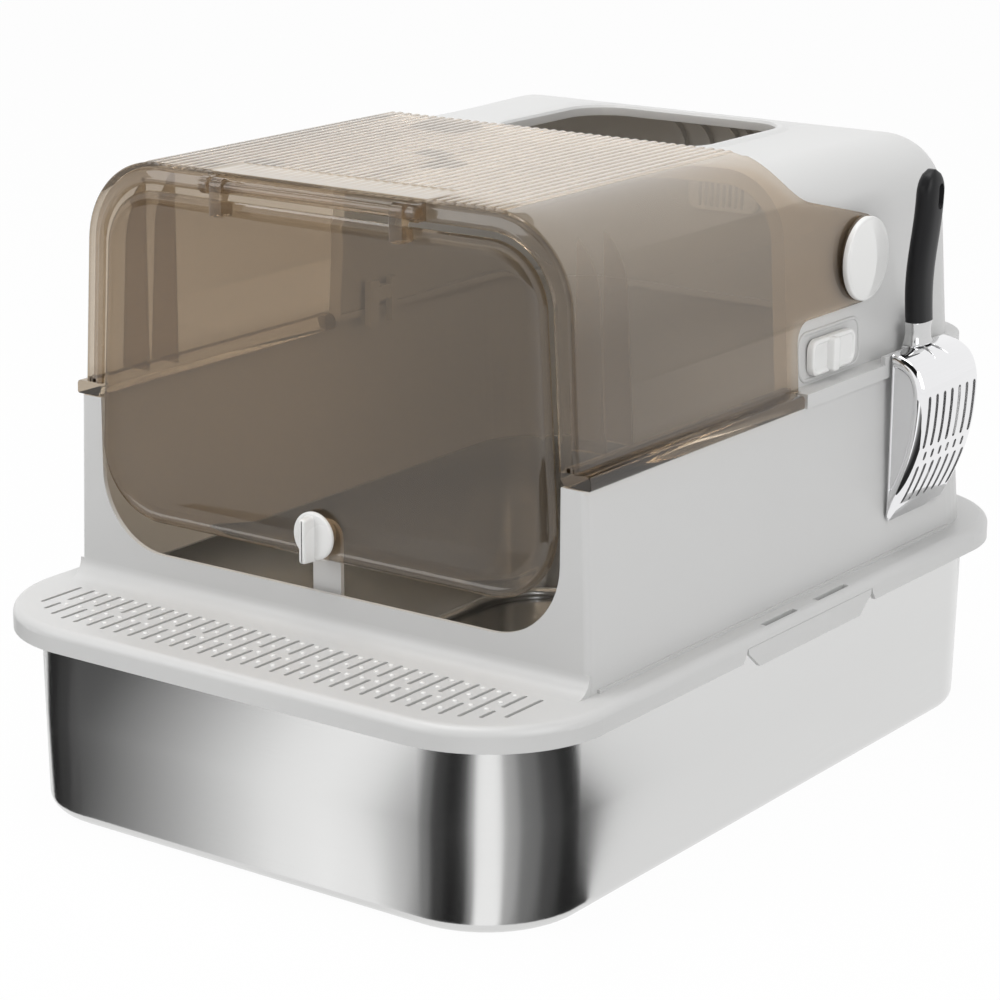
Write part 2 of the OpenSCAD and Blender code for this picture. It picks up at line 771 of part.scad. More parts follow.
// An ear: a round eye on an arm that reaches down to a foot on the door
module ear_profile() {
    arm_y = rod_y - rod_d / 2 - 1.5;
    foot_z = door_top_z - 8;
    translate([rod_y, rod_z]) circle(rod_d / 2 + 2);
    translate([arm_y, foot_z]) square([rod_d / 2 + 0.5, rod_z - foot_z]);
    translate([arm_y, foot_z]) square([door_front + 1 - arm_y, 7]);
}
module door_flap() color([0.45, 0.38, 0.3, 0.55]) {
    difference() {
        union() {
            along_y(door_front, door_front + door_t - 0.5) door_outline(0);
            along_y(door_front, door_front + door_t) difference() {
                door_outline(0);
                door_outline(door_lip);
            }
            for (s = [-1, 1]) along_x(s * ear_x - ear_w / 2, s * ear_x + ear_w / 2) ear_profile();
        }
        bar_x(-rx, rx, rod_y, rod_z, rod_d / 2 + running_gap);
        bar_y(door_front - 5, door_front + 8, 0, latch_z, latch_shaft_d / 2 + running_gap);
    }
}

// Door knob: a disc with an upright grip that runs on into a short tail
module door_knob() color("white") {
    face = door_front - rest_gap;
    union() {
        bar_y(face - 5, face, 0, latch_z, latch_d / 2);
        translate([-4.5, face - 13, latch_z - latch_d / 2 - 1]) cube([9, 12, latch_d - 1]);
        bar_y(face - 1, door_front + door_t + rest_gap, 0, latch_z, latch_shaft_d / 2);
    }
}
module latch_cam() color("white") {
    y0 = door_front + door_t + rest_gap;
    difference() {
        union() {
            bar_y(y0, y0 + 2.8, 0, latch_z, 9);
            translate([-3.5, y0, latch_z - 17]) cube([7, 2.8, 17]);
        }
        bar_y(y0 - 1, y0 + 5, 0, latch_z, 2);
    }
}
module cam_screw() color("dimgray") {
    y0 = door_front + door_t + rest_gap + 2.8;
    bar_y(y0, y0 + 1.1, 0, latch_z, 3.4);
    bar_y(y0 - 2.8 + eps, y0, 0, latch_z, 2 - running_gap);
}

// Side knob: a rim, two facets that meet in an upright curved ridge, and its shaft
module side_knob() {
    r = knob_d / 2;
    face_r = r - 2.2;
    ridge = knob_out - knob_rim;
    rim_x = knob_seat_x + knob_rim;
    bar_x(knob_seat_x, rim_x - 1.5, pivot_y, pivot_z, r);
    translate([rim_x - 1.5, pivot_y, pivot_z]) rotate([0, 90, 0]) cylinder(h = 1.5, r1 = r, r2 = face_r);
    hull() {
        bar_x(rim_x - 1, rim_x, pivot_y, pivot_z, face_r, $fn = 48);
        for (t = [-0.9 : 0.18 : 0.9])
            translate([rim_x + ridge * (1 - t * t) - 1, pivot_y - 1, pivot_z + t * face_r - 1])
                cube([1, 2, 2]);
    }
    bar_x(rear_boss_inner - nut_l - 1, knob_seat_x + 1, pivot_y, pivot_z, pivot_d / 2);
}
module side_knob_right() color("white") side_knob();
module side_knob_left() color("white") mirror([1, 0, 0]) side_knob();

module pivot_nut() {
    difference() {
        translate([rear_boss_inner - nut_l - rest_gap, pivot_y, pivot_z]) rotate([0, 90, 0])
            cylinder(h = nut_l, r = pivot_boss_r, $fn = 6);
        bar_x(rear_boss_inner - nut_l - 2, rear_boss_inner + 1, pivot_y, pivot_z, pivot_d / 2 + running_gap);
    }
}
module pivot_nut_right() color("gainsboro") pivot_nut();
module pivot_nut_left() color("gainsboro") mirror([1, 0, 0]) pivot_nut();

// Slide lock: a plate with a thumb bar outside and a carriage inside, joined by a stem
module slide_lock() {
    x0 = lock_x + 1;
    z1 = lock_z + lock_h;
    along_x(x0, x0 + lock_t) round_rect(lock_y, lock_y + lock_l, lock_z, z1, 7);
    translate([x0 + lock_t - 1, lock_y + 0.4 * lock_l, lock_z + 0.5]) cube([4.5, thumb_w, lock_h - 1]);
    translate([stem_x, stem_y, stem_z]) cube([x0 - stem_x + 0.5, stem_l, stem_h]);
}
module slide_lock_right() color("white") slide_lock();
module slide_lock_left() color("white") mirror([1, 0, 0]) slide_lock();

// Carriage of a slide lock: two posts inside, joined by the bar that takes the stem
module lock_carriage() {
    h = 31;
    front_post = 9.5;
    rear_post = 6;
    z0 = stem_z + stem_h / 2 - 21;
    translate([stem_x - 5, stem_y - front_post, z0]) cube([5, front_post, h]);
    translate([stem_x - 5, stem_y + stem_l, z0]) cube([5, rear_post, h]);
    translate([stem_x - 4, stem_y - 1, stem_z]) cube([4, stem_l + 2, stem_h]);
}
module lock_carriage_right() color("gainsboro") lock_carriage();
module lock_carriage_left() color("gainsboro") mirror([1, 0, 0]) lock_carriage();

// A point of a curve that is steered by one control point
function bend(p, c, q, t) = (1 - t) * (1 - t) * p + 2 * t * (1 - t) * c + t * t * q;

// Scoop: its side view as X-Z points, over the shoulder and down to the tip
shoulder = 23.5;
function scoop_curve(in) =
    let (
        top = [scoop_x, scoop_top - in],
        top_bend = [scoop_x + 0.65 * (scoop_deep - in), scoop_top - 8.2 - in],
        front = [scoop_x + scoop_deep - in, scoop_top - shoulder],
        low_bend = [scoop_x + 0.92 * scoop_deep - in, scoop_top - 0.55 * scoop_l],
        tip = [scoop_x + 1, scoop_tip + 2 * in])
    concat([for (t = [0 : 0.125 : 1]) bend(top, top_bend, front, t)],
        [for (t = [0.1 : 0.1 : 1]) bend(front, low_bend, tip, t)]);
module scoop_side(in) {
    polygon(concat(scoop_curve(in), [[scoop_x, scoop_tip + 2 * in]]));
}
module scoop_slots() {
    n = 7;
    pitch = (scoop_w - 16) / (n - 1);
    y0 = scoop_y - scoop_w / 2 + 8;
    row = scoop_top - 0.6 * scoop_l;
    slot = 3.6;
    for (i = [0 : n - 1]) {
        slot_2d(y0 + i * pitch, row + 6, scoop_top - shoulder - 2, slot);
        if (i < n - 1) slot_2d(y0 + (i + 0.5) * pitch, row - 3, row + 3, slot - 0.4);
        slot_2d(y0 + i * pitch, scoop_tip + 9, row - 6, slot);
    }
}
module scoop_blade() color([0.8, 0.8, 0.82]) {
    y0 = scoop_y - scoop_w / 2;
    y1 = scoop_y + scoop_w / 2;
    hook_x = ledge_x - rail_t - 0.6 - scoop_sheet;
    difference() {
        along_y(y0, y1) scoop_side(0);
        along_y(y0 + scoop_sheet, y1 - scoop_sheet) scoop_side(scoop_sheet);
        translate([scoop_x - 1, y0 + scoop_sheet, scoop_tip + 3])
            cube([1.5 + scoop_sheet, scoop_w - 2 * scoop_sheet, scoop_l - 3 - 2 * scoop_sheet]);
        along_x(scoop_x + 3, scoop_x + scoop_deep + 20) scoop_slots();
    }
    // hook over the rail, and the neck that the grip's collar takes
    translate([hook_x, scoop_y - 12, scoop_top - scoop_sheet])
        cube([scoop_x - hook_x + 2, 24, scoop_sheet]);
    translate([hook_x, scoop_y - 12, ledge_z + 1]) cube([scoop_sheet, 24, scoop_top - ledge_z - 1]);
    translate([grip_x - 1.5, scoop_y - 5, scoop_top - 0.5]) cube([3, 10, grip_z + 10 - scoop_top]);
}
module scoop_collar() color([0.75, 0.76, 0.78]) {
    z0 = scoop_top + 0.1;
    difference() {
        translate([grip_x, scoop_y, 0]) slab(z0, grip_z - 0.1 - z0)
            round_rect(-collar_half, collar_half, -10.5, 10.5, 5);
        translate([grip_x - 1.6, scoop_y - 5.1, z0 - 1]) cube([3.2, 10.2, 40]);
    }
}

// Grip: stations of half thickness, half width, lean and height, joined smoothly
module grip_section(t) {
    hx = grip_t / 2 * (0.86 + 0.14 * sin(180 * t)) * (t > 0.9 ? 0.72 : 1);
    hy = grip_w / 2 * (0.9 + 0.1 * sin(180 * t)) * (t > 0.9 ? 0.72 : 1);
    r = hx * 0.9;
    translate([grip_x + 4.5 * t * t, scoop_y, 0])
        slab(grip_z + grip_l * t - (t > 0.5 ? 0.1 : 0)) round_rect(-hx, hx, -hy, hy, r, $fn = 32);
}
module scoop_grip() color("black") {
    hole_z = grip_z + grip_l * 0.78;
    difference() {
        union() for (t = [0, 0.3, 0.6]) hull() {
            grip_section(t);
            grip_section(t + 0.3);
            if (t == 0.6) grip_section(1);
        }
        along_x(grip_x - 20, grip_x + 25) slot_2d(scoop_y, hole_z - 8, hole_z + 8, 7);
        translate([grip_x - 1.6, scoop_y - 5.1, grip_z - 1]) cube([3.2, 10.2, 12]);
    }
}
steel_pan();
base_frame();
side_clip_left();
side_clip_right();
rear_hood();
front_hood();
hinge_rod();
door_flap();
door_knob();
latch_cam();
cam_screw();
side_knob_left();
side_knob_right();
pivot_nut_left();
pivot_nut_right();
slide_lock_left();
slide_lock_right();
lock_carriage_left();
lock_carriage_right();
scoop_blade();
scoop_collar();
scoop_grip();
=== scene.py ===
import json
import math

import bmesh
import bpy
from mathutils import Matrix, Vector


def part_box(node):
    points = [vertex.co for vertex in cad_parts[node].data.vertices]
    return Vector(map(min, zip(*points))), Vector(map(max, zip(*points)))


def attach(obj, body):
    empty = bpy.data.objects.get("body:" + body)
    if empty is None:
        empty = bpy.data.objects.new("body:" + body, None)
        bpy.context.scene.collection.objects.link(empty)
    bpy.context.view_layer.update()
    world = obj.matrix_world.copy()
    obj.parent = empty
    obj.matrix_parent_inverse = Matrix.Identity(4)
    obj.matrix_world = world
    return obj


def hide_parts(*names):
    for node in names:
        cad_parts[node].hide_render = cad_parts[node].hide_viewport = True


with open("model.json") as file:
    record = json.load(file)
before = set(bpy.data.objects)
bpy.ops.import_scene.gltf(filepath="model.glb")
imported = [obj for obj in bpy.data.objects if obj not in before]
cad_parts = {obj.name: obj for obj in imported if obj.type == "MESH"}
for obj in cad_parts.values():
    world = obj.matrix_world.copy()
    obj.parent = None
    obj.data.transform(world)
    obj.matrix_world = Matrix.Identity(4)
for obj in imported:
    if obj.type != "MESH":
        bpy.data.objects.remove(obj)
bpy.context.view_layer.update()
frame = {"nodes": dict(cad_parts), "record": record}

# Looks of an enclosed litter box: steel pan, grey frame and rear hood, smoked clear hood and
# door, white knobs and locks, and a chrome scoop. Metres, +X right, -Y the door side, +Z up.
nodes = frame["nodes"]
MM = 0.001

# Camera of the photograph
CAMERA_AT = (1.1078, -1.5816, 0.7130)
CAMERA_AZIMUTH = 36.786
CAMERA_ELEVATION = 15.301
LENS_MM = 112.31
SENSOR_MM = 36
SHIFT_X = 0.0699
SHIFT_Y = -0.0297
LAMP_AIM = (0, 0, 0.2)

# Colours, linear
GREY_PLASTIC = (0.60, 0.60, 0.595)
WHITE_PLASTIC = (0.80, 0.80, 0.79)
BLACK_PLASTIC = (0.012, 0.012, 0.013)
STEEL = (0.66, 0.66, 0.655)
SCREW_STEEL = (0.45, 0.45, 0.46)
COLLAR_METAL = (0.6, 0.6, 0.6)
CHROME = (0.83, 0.83, 0.84)
SMOKE = (0.57, 0.49, 0.395)
# The smoke's deeper tint, which is also the colour of painted shade on the hood and door
DEEP_SMOKE_AND_SHADE = (0.31, 0.235, 0.15)


# Node helpers

def new_material(name):
    """A material with an empty node tree."""
    mat = bpy.data.materials.new(name)
    mat.use_nodes = True
    mat.node_tree.nodes.clear()
    return mat, mat.node_tree


def add_node(tree, kind, inputs=None, **settings):
    """A node with its settings. An input takes a plain value or the output of another node."""
    node = tree.nodes.new(kind)
    for key, value in settings.items():
        setattr(node, key, value)
    for key, value in (inputs or {}).items():
        if isinstance(value, bpy.types.NodeSocket):
            tree.links.new(value, node.inputs[key])
        else:
            node.inputs[key].default_value = value
    return node


def finish_material(tree, shader):
    """Links a shader to the material's surface."""
    add_node(tree, "ShaderNodeOutputMaterial", {"Surface": shader.outputs[0]})


def object_noise(tree, scale, detail, stretch=(1, 1, 1)):
    """Noise in object space, stretched along the axes."""
    coords = add_node(tree, "ShaderNodeTexCoord")
    mapping = add_node(tree, "ShaderNodeMapping",
                       {"Vector": coords.outputs["Object"], "Scale": stretch})
    noise = add_node(tree, "ShaderNodeTexNoise",
                     {"Vector": mapping.outputs["Vector"], "Scale": scale, "Detail": detail})
    return noise.outputs["Fac"]


def spread(tree, value, low, high):
    """Maps noise from its middle range to low and high."""
    ramp = add_node(tree, "ShaderNodeMapRange", {
        "Value": value, "From Min": 0.3, "From Max": 0.7, "To Min": low, "To Max": high})
    return ramp.outputs["Result"]


def blend_colours(tree, share, first, second):
    """The first colour where the share is 0, and the second where it is 1."""
    mix = add_node(tree, "ShaderNodeMix", {"Factor": share, "A": first, "B": second},
                   data_type="RGBA")
    return mix.outputs["Result"]


def tint(tree, value, colour, amount):
    """The colour, darker and lighter by the amount as the noise goes."""
    darker = (*[c * (1 - amount) for c in colour], 1)
    lighter = (*[min(1, c * (1 + amount)) for c in colour], 1)
    return blend_colours(tree, value, darker, lighter)


def bump(tree, value, strength):
    """Normals of a surface that the noise raises by up to a tenth of a millimetre."""
    node = add_node(tree, "ShaderNodeBump",
                    {"Height": value, "Strength": strength, "Distance": 0.0001})
    return node.outputs["Normal"]


def seen_share(tree):
    """1 for what the camera sees, straight, mirrored or through clear plastic, and else 0."""
    rays = add_node(tree, "ShaderNodeLightPath").outputs
    first = add_node(tree, "ShaderNodeMath",
                     {0: rays["Is Camera Ray"], 1: rays["Is Glossy Ray"]}, operation="MAXIMUM")
    second = add_node(tree, "ShaderNodeMath",
                      {0: first.outputs[0], 1: rays["Is Transmission Ray"]}, operation="MAXIMUM")
    return second.outputs[0]


def mix_shaders(tree, share, first, second):
    """The first shader where the share is 0, and the second where it is 1."""
    return add_node(tree, "ShaderNodeMixShader",
                    {"Fac": share, 1: first.outputs[0], 2: second.outputs[0]})


# Materials

def moulded_plastic(name, colour, rough, grain, ior=1.49):
    """Moulded plastic with a very fine grain and faint changes of gloss."""
    mat, tree = new_material(name)
    flow = object_noise(tree, 9, 2)
    fine = object_noise(tree, 900, 2)
    finish_material(tree, add_node(tree, "ShaderNodeBsdfPrincipled", {
        "Base Color": tint(tree, flow, colour, 0.015),
        "Roughness": spread(tree, flow, rough - 0.03, rough + 0.03),
        "Normal": bump(tree, fine, grain),
        "IOR": ior,
    }))
    return mat


def brushed_metal(name, colour, rough, lines):
    """Metal with fine lines that run round the walls."""
    mat, tree = new_material(name)
    drawn = object_noise(tree, 60, 4, (0.4, 0.4, 30))
    cloud = object_noise(tree, 6, 2)
    finish_material(tree, add_node(tree, "ShaderNodeBsdfPrincipled", {
        "Base Color": tint(tree, drawn, colour, 0.02),
        "Metallic": 1.0,
        "Roughness": spread(tree, cloud, rough - 0.02, rough + 0.02),
        "Normal": bump(tree, drawn, lines),
    }))
    return mat


def smoked_clear(name, colour, deep_tint_and_shade):
    """Clear smoked plastic. A number on the mesh makes its tint deeper, for thick parts and as
    painted shade, and another gives a painted sheen that makes it paler and less clear.
    """
    mat, tree = new_material(name)
    flow = object_noise(tree, 7, 2)
    # Numbers stored on the mesh: deeper tint with painted shade, and painted sheen
    tint_and_shade = add_node(tree, "ShaderNodeAttribute", attribute_name="tint_and_shade").outputs["Fac"]
    painted_sheen = add_node(tree, "ShaderNodeAttribute", attribute_name="painted_sheen").outputs["Fac"]
    clear = add_node(tree, "ShaderNodeMath", {0: painted_sheen, 1: -0.65, 2: 0.96},
                     operation="MULTIPLY_ADD")
    glass = add_node(tree, "ShaderNodeBsdfPrincipled", {
        "Base Color": blend_colours(tree, tint_and_shade, tint(tree, flow, colour, 0.01), (*deep_tint_and_shade, 1)),
        "Roughness": spread(tree, flow, 0.0, 0.02),
        "Transmission Weight": clear.outputs[0],
        "IOR": 1.07,
        "Sheen Weight": painted_sheen,
        "Sheen Roughness": 0.35,
        "Sheen Tint": (1, 0.97, 0.93, 1),
        "Coat Weight": 1.0,
        "Coat IOR": 1.5,
        "Coat Roughness": 0.03,
    })
    shadow = add_node(tree, "ShaderNodeLightPath").outputs["Is Shadow Ray"]
    passing = add_node(tree, "ShaderNodeBsdfTransparent", {"Color": (*colour, 1)})
    finish_material(tree, mix_shaders(tree, shadow, glass, passing))
    return mat


materials = {
    "steel": brushed_metal("drawn_steel", STEEL, 0.2, 0.06),
    "grey_plastic": moulded_plastic("grey_plastic", GREY_PLASTIC, 0.34, 0.04),
    "smoked_clear": smoked_clear("smoked_clear", SMOKE, DEEP_SMOKE_AND_SHADE),
    "white_plastic": moulded_plastic("white_plastic", WHITE_PLASTIC, 0.25, 0.02),
    "screw_steel": brushed_metal("screw_steel", SCREW_STEEL, 0.3, 0.04),
    "scoop_chrome": brushed_metal("scoop_chrome", CHROME, 0.05, 0.0),
    "collar_plastic": brushed_metal("collar_metal", COLLAR_METAL, 0.15, 0.0),
    "black_grip": moulded_plastic("black_grip", BLACK_PLASTIC, 0.36, 0.1, 1.28),
}
node_slots = {s["node"]: s["material_slot"] for s in frame["record"]["subparts"]}


def dress(obj, slot):
    """Gives an object the material of a slot."""
    obj.data.materials.clear()
    obj.data.materials.append(materials[slot])


def shade_smooth(obj):
    """Shades all faces of an object smooth."""
    for face in obj.data.polygons:
        face.use_smooth = True


def soften(obj):
    """Rounds an object's sharp edges by half a millimetre and shades the rest smooth."""
    flat = obj.modifiers.new("flat", "DECIMATE")
    flat.decimate_type = "DISSOLVE"
    flat.angle_limit = math.radians(0.5)
    edge = obj.modifiers.new("edge", "BEVEL")
    edge.width = 0.5 * MM
    edge.segments = 2
    edge.limit_method = "ANGLE"
    edge.angle_limit = math.radians(30)
    edge.harden_normals = False
    shade_smooth(obj)
    weighted = obj.modifiers.new("weighted", "WEIGHTED_NORMAL")
    weighted.keep_sharp = False


# Pieces from meshes

def new_object(name, data):
    """An object in the scene from a mesh, lamp or camera."""
    obj = bpy.data.objects.new(name, data)
    bpy.context.scene.collection.objects.link(obj)
    return obj


def outward_mesh(name, verts, faces, weld):
    """A mesh with its faces turned outwards, and its doubled points joined if asked."""
    mesh = bpy.data.meshes.new(name)
    mesh.from_pydata(verts, [], faces)
    bm = bmesh.new()
    bm.from_mesh(mesh)
    if weld:
        bmesh.ops.remove_doubles(bm, verts=bm.verts, dist=1e-6)
    bmesh.ops.recalc_face_normals(bm, faces=bm.faces)
    bm.to_mesh(mesh)
    bm.free()
    return mesh


def add_piece(name, verts, faces, body, slot, replaced=()):
    """A smooth mesh piece that rides on a body."""
    obj = new_object(name, outward_mesh(name, verts, faces, True))
    shade_smooth(obj)
    dress(obj, slot)
    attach(obj, body)
    if replaced:
        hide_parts(*replaced)
    return obj


def make_piece(name, parts, body, slot, replaced=(), sharp=None):
    """A piece from parts in millimetres. Edges over the sharp angle, in degrees, stay sharp."""
    verts, faces = merge(parts)
    obj = add_piece(name, in_metres(verts), faces, body, slot, replaced)
    if sharp:
        split_sharp(obj, sharp)
    return obj


def split_sharp(obj, angle):
    """Keeps the edges over an angle sharp."""
    bm = bmesh.new()
    bm.from_mesh(obj.data)
    limit = math.radians(angle)
    for edge in bm.edges:
        edge.smooth = not edge.is_manifold or edge.calc_face_angle(0) < limit
    bm.to_mesh(obj.data)
    bm.free()


def bake(obj):
    """Applies an object's modifiers to its mesh."""
    graph = bpy.context.evaluated_depsgraph_get()
    mesh = bpy.data.meshes.new_from_object(obj.evaluated_get(graph))
    obj.modifiers.clear()
    obj.data = mesh


def cut(obj, part):
    """Takes a closed part out of an object."""
    cutter = new_object("cutter", outward_mesh("cutter", in_metres(part[0]), part[1], False))
    modifier = obj.modifiers.new("cut", "BOOLEAN")
    modifier.operation = "DIFFERENCE"
    modifier.solver = "EXACT"
    modifier.object = cutter
    bake(obj)
    bpy.data.objects.remove(cutter)


def paint(obj, name, value):
    """Stores a number at every mesh point, worked out from its place in millimetres."""
    layer = obj.data.attributes.new(name, "FLOAT", "POINT")
    for vert, item in zip(obj.data.vertices, layer.data):
        item.value = value(*[c / MM for c in vert.co])


# Forms. A part is a list of points and a list of faces, in millimetres but for the pan's.

def between(a, b, t):
    """The value at a share of the way from a to b."""
    return a + (b - a) * t


def smooth_step(t):
    """From 0 to 1 with soft ends."""
    t = max(0.0, min(1.0, t))
    return t * t * (3 - 2 * t)


def in_metres(verts):
    """Points in metres from points in millimetres."""
    return [(x * MM, y * MM, z * MM) for x, y, z in verts]


def in_mm(corners):
    """The low and high corners of a box in millimetres."""
    return [[value / MM for value in corner] for corner in corners]


def arc(cx, cy, r, angles):
    """Flat points round a centre, from angles in radians."""
    return [(cx + r * math.cos(a), cy + r * math.sin(a)) for a in angles]


def degrees(first, last, step):
    """A range of whole degrees, in radians."""
    return [math.radians(a) for a in range(first, last, step)]


def quarter(steps, first=0):
    """The angles of a quarter turn in equal steps."""
    return [math.pi / 2 * k / steps for k in range(first, steps + 1)]


def rounded_outline(a0, a1, b0, b1, r, per_corner=8):
    """A flat rounded rectangle."""
    corners = ((a1 - r, b1 - r, 0), (a0 + r, b1 - r, 90),
               (a0 + r, b0 + r, 180), (a1 - r, b0 + r, 270))
    points = []
    for ca, cb, start in corners:
        turns = [math.radians(start + 90 * k / per_corner) for k in range(per_corner + 1)]
        points += arc(ca, cb, r, turns)
    return points


def circle_x(x, r, y, z, segments=96):
    """A ring round a line along X."""
    turns = [2 * math.pi * k / segments for k in range(segments)]
    return [(x, py, pz) for py, pz in arc(y, z, r, turns)]


def oval_ring(cx, cy, z, hx, hy, power=2.6, segments=48):
    """A level ring between an oval and a rectangle."""
    ring = []
    for k in range(segments):
        a = 2 * math.pi * k / segments
        c = math.cos(a)
        s = math.sin(a)
        ring.append((cx + hx * math.copysign(abs(c) ** (2 / power), c),
                     cy + hy * math.copysign(abs(s) ** (2 / power), s), z))
    return ring


def loft(rings):
    """Faces between closed rings of the same number of points, with both ends open."""
    n = len(rings[0])
    verts = [p for ring in rings for p in ring]
    faces = []
    for k in range(len(rings) - 1):
        for i in range(n):
            j = (i + 1) % n
            faces.append((k * n + i, k * n + j, (k + 1) * n + j, (k + 1) * n + i))
    return verts, faces


def capped(rings):
    """A loft with both ends closed."""
    verts, faces = loft(rings)
    n = len(rings[0])
    faces.append(tuple(range(n)))
    faces.append(tuple(range(len(verts) - n, len(verts))))
    return verts, faces


def merge(parts):
    """Joins several parts to one."""
    verts = []
    faces = []
    for part_verts, part_faces in parts:
        faces += [tuple(i + len(verts) for i in face) for face in part_faces]
        verts += part_verts
    return verts, faces


def mirrored(part):
    """The copy of a part on the other side."""
    return [(-x, y, z) for x, y, z in part[0]], part[1]


def both(part):
    """A part and its copy on the other side."""
    return [part, mirrored(part)]


def prism_y(outline, y0, y1, soft=0.6):
    """An X-Z outline run along Y, its ends drawn in a little."""
    cx = sum(p[0] for p in outline) / len(outline)
    cz = sum(p[1] for p in outline) / len(outline)
    rings = []
    for y, d in ((y0, soft), (y0 + soft, 0), (y1 - soft, 0), (y1, soft)):
        ring = []
        for x, z in outline:
            reach = math.hypot(x - cx, z - cz)
            ring.append((x - (x - cx) * d / reach, y, z - (z - cz) * d / reach))
        rings.append(ring)
    return capped(rings)


def prism_x(outline, x0, x1, soft=0.6):
    """A Y-Z outline run along X, its ends drawn in a little."""
    verts, faces = prism_y(outline, x0, x1, soft)
    return [(y, x, z) for x, y, z in verts], faces


def lathe_x(profile, y, z, segments=96):
    """A turned form round a line along X, from pairs of X and radius."""
    return capped([circle_x(x, r, y, z, segments) for x, r in profile])


def steel_pan():
    """The drawn pan: one sheet with a round foot, leaning walls and a rolled flange."""
    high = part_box("steel_pan")[1]
    flange = 8 * MM
    sheet = 1 * MM
    draft = 2.3 * MM
    foot = 9 * MM
    corner = 67 * MM
    hx = high.x - flange
    hy = high.y - flange
    top = high.z

    def section(inset):
        """Offset inwards from the wall's top, and height, from the floor's middle up."""
        points = [(draft + 60 * MM, inset), (draft + foot, inset)]
        r = foot - inset / 2
        for k in range(1, 9):
            a = math.radians(90 * k / 8)
            points.append((draft + r * (1 - math.sin(a)) + inset, inset + r * (1 - math.cos(a))))
        points.append((inset + draft * 0.5, top * 0.5))
        points.append((inset, top - 3 * MM))
        return points

    outer = section(0) + [(-0.6 * MM, top - 2.2 * MM), (-flange, top - 2 * sheet)]
    inner = [(-flange, top - sheet), (-flange, top), (0.4 * MM, top)] + section(sheet)[::-1]
    rings = []
    for inset, z in outer + inner:
        half_x = hx - inset
        half_y = hy - inset
        r = max(4 * MM, corner - inset)
        plan = rounded_outline(-half_x, half_x, -half_y, half_y, r, 16)
        rings.append([(x, y, z) for x, y in plan])
    verts, faces = loft(rings)
    n = len(rings[0])
    faces.append(tuple(range(n))[::-1])
    faces.append(tuple(range(len(verts) - n, len(verts))))
    add_piece("drawn_pan", verts, faces, "pan", "steel", ["steel_pan"])


# Measures of the hoods and the door, in millimetres as in the source
LEDGE_Z = 258.0
HOOD_Z = 400.2
HOOD_HALF = 183.5
HOOD_R = 55.0
HOOD_CX = 123.5
HOOD_CZ = HOOD_Z - HOOD_R
HOOD_FRONT = -209.0
HOOD_WALL = 3.0
OPEN_R = 43.0
OPEN_TOP = 387.2
OPEN_CZ = OPEN_TOP - OPEN_R
DOORWAY_HALF = 171.6
DOORWAY_Z = 238.0
DOOR_FOOT_Z = 177.0
DOOR_FOOT_R = 45.0
DOOR_FRONT = -210.0
PIVOT_Y = 108.0
PIVOT_Z = 328.0
ARM_R = 28.0
ARM_TOP_Z = 355.05
NOOK_Z = 287.0
NOOK_R = 13.0
NOTCH_Z = 369.9
NOTCH_TOP_Z = 398.35
ROD_Y = -216.25
ROD_Z = 392.95
ROD_HOLD_R = 5.2
RIDGE = 0.8
RIDGE_PITCH = 6.8
RIDGE_LIMIT = HOOD_CX + 9
STRIP_HALF = 79.0
STRIP_BACK = HOOD_FRONT + 30
FOOT_TOP_Z = 262.0
SEAT_IN = 5.7
REAR_FRONT = 24.0
REAR_FOOT_Y = 250.0
REAR_Y = 247.0
REAR_R = 42.0
REAR_EDGE_Z = 348.0

# Lean of the hood's sides, which run into the round of its top
FOOT_DX = HOOD_HALF - HOOD_CX
FOOT_DZ = HOOD_CZ - LEDGE_Z
LEAN = math.acos(HOOD_R / math.hypot(FOOT_DX, FOOT_DZ)) - math.atan2(FOOT_DZ, FOOT_DX)
TANGENT_Z = HOOD_CZ + HOOD_R * math.sin(LEAN)


def hood_x(z):
    """Half width of the clear hood's side at a height."""
    return HOOD_HALF - (z - LEDGE_Z) * math.tan(LEAN)


OPEN_HALF = hood_x(OPEN_CZ) - 13
OPEN_CX = OPEN_HALF - OPEN_R
KNOB_R = 26.5
KNOB_SEAT = hood_x(PIVOT_Z - KNOB_R)


def hood_back(z):
    """Y of the clear hood's rear edge at a height: foot, nook, arm, notch and top."""
    if z <= NOOK_Z:
        return 29.5
    if z < NOOK_Z + NOOK_R:
        return 42.5 - math.sqrt(NOOK_R ** 2 - (z - NOOK_Z) ** 2)
    if z <= ARM_TOP_Z:
        return PIVOT_Y + math.sqrt(max(0, ARM_R ** 2 - (z - PIVOT_Z) ** 2))
    if z <= NOTCH_Z:
        return between(115.2, 55.0, (z - ARM_TOP_Z) / (NOTCH_Z - ARM_TOP_Z))
    if z <= NOTCH_TOP_Z:
        return 62 - math.sqrt(27 ** 2 - (z - 396) ** 2)
    return 32.0


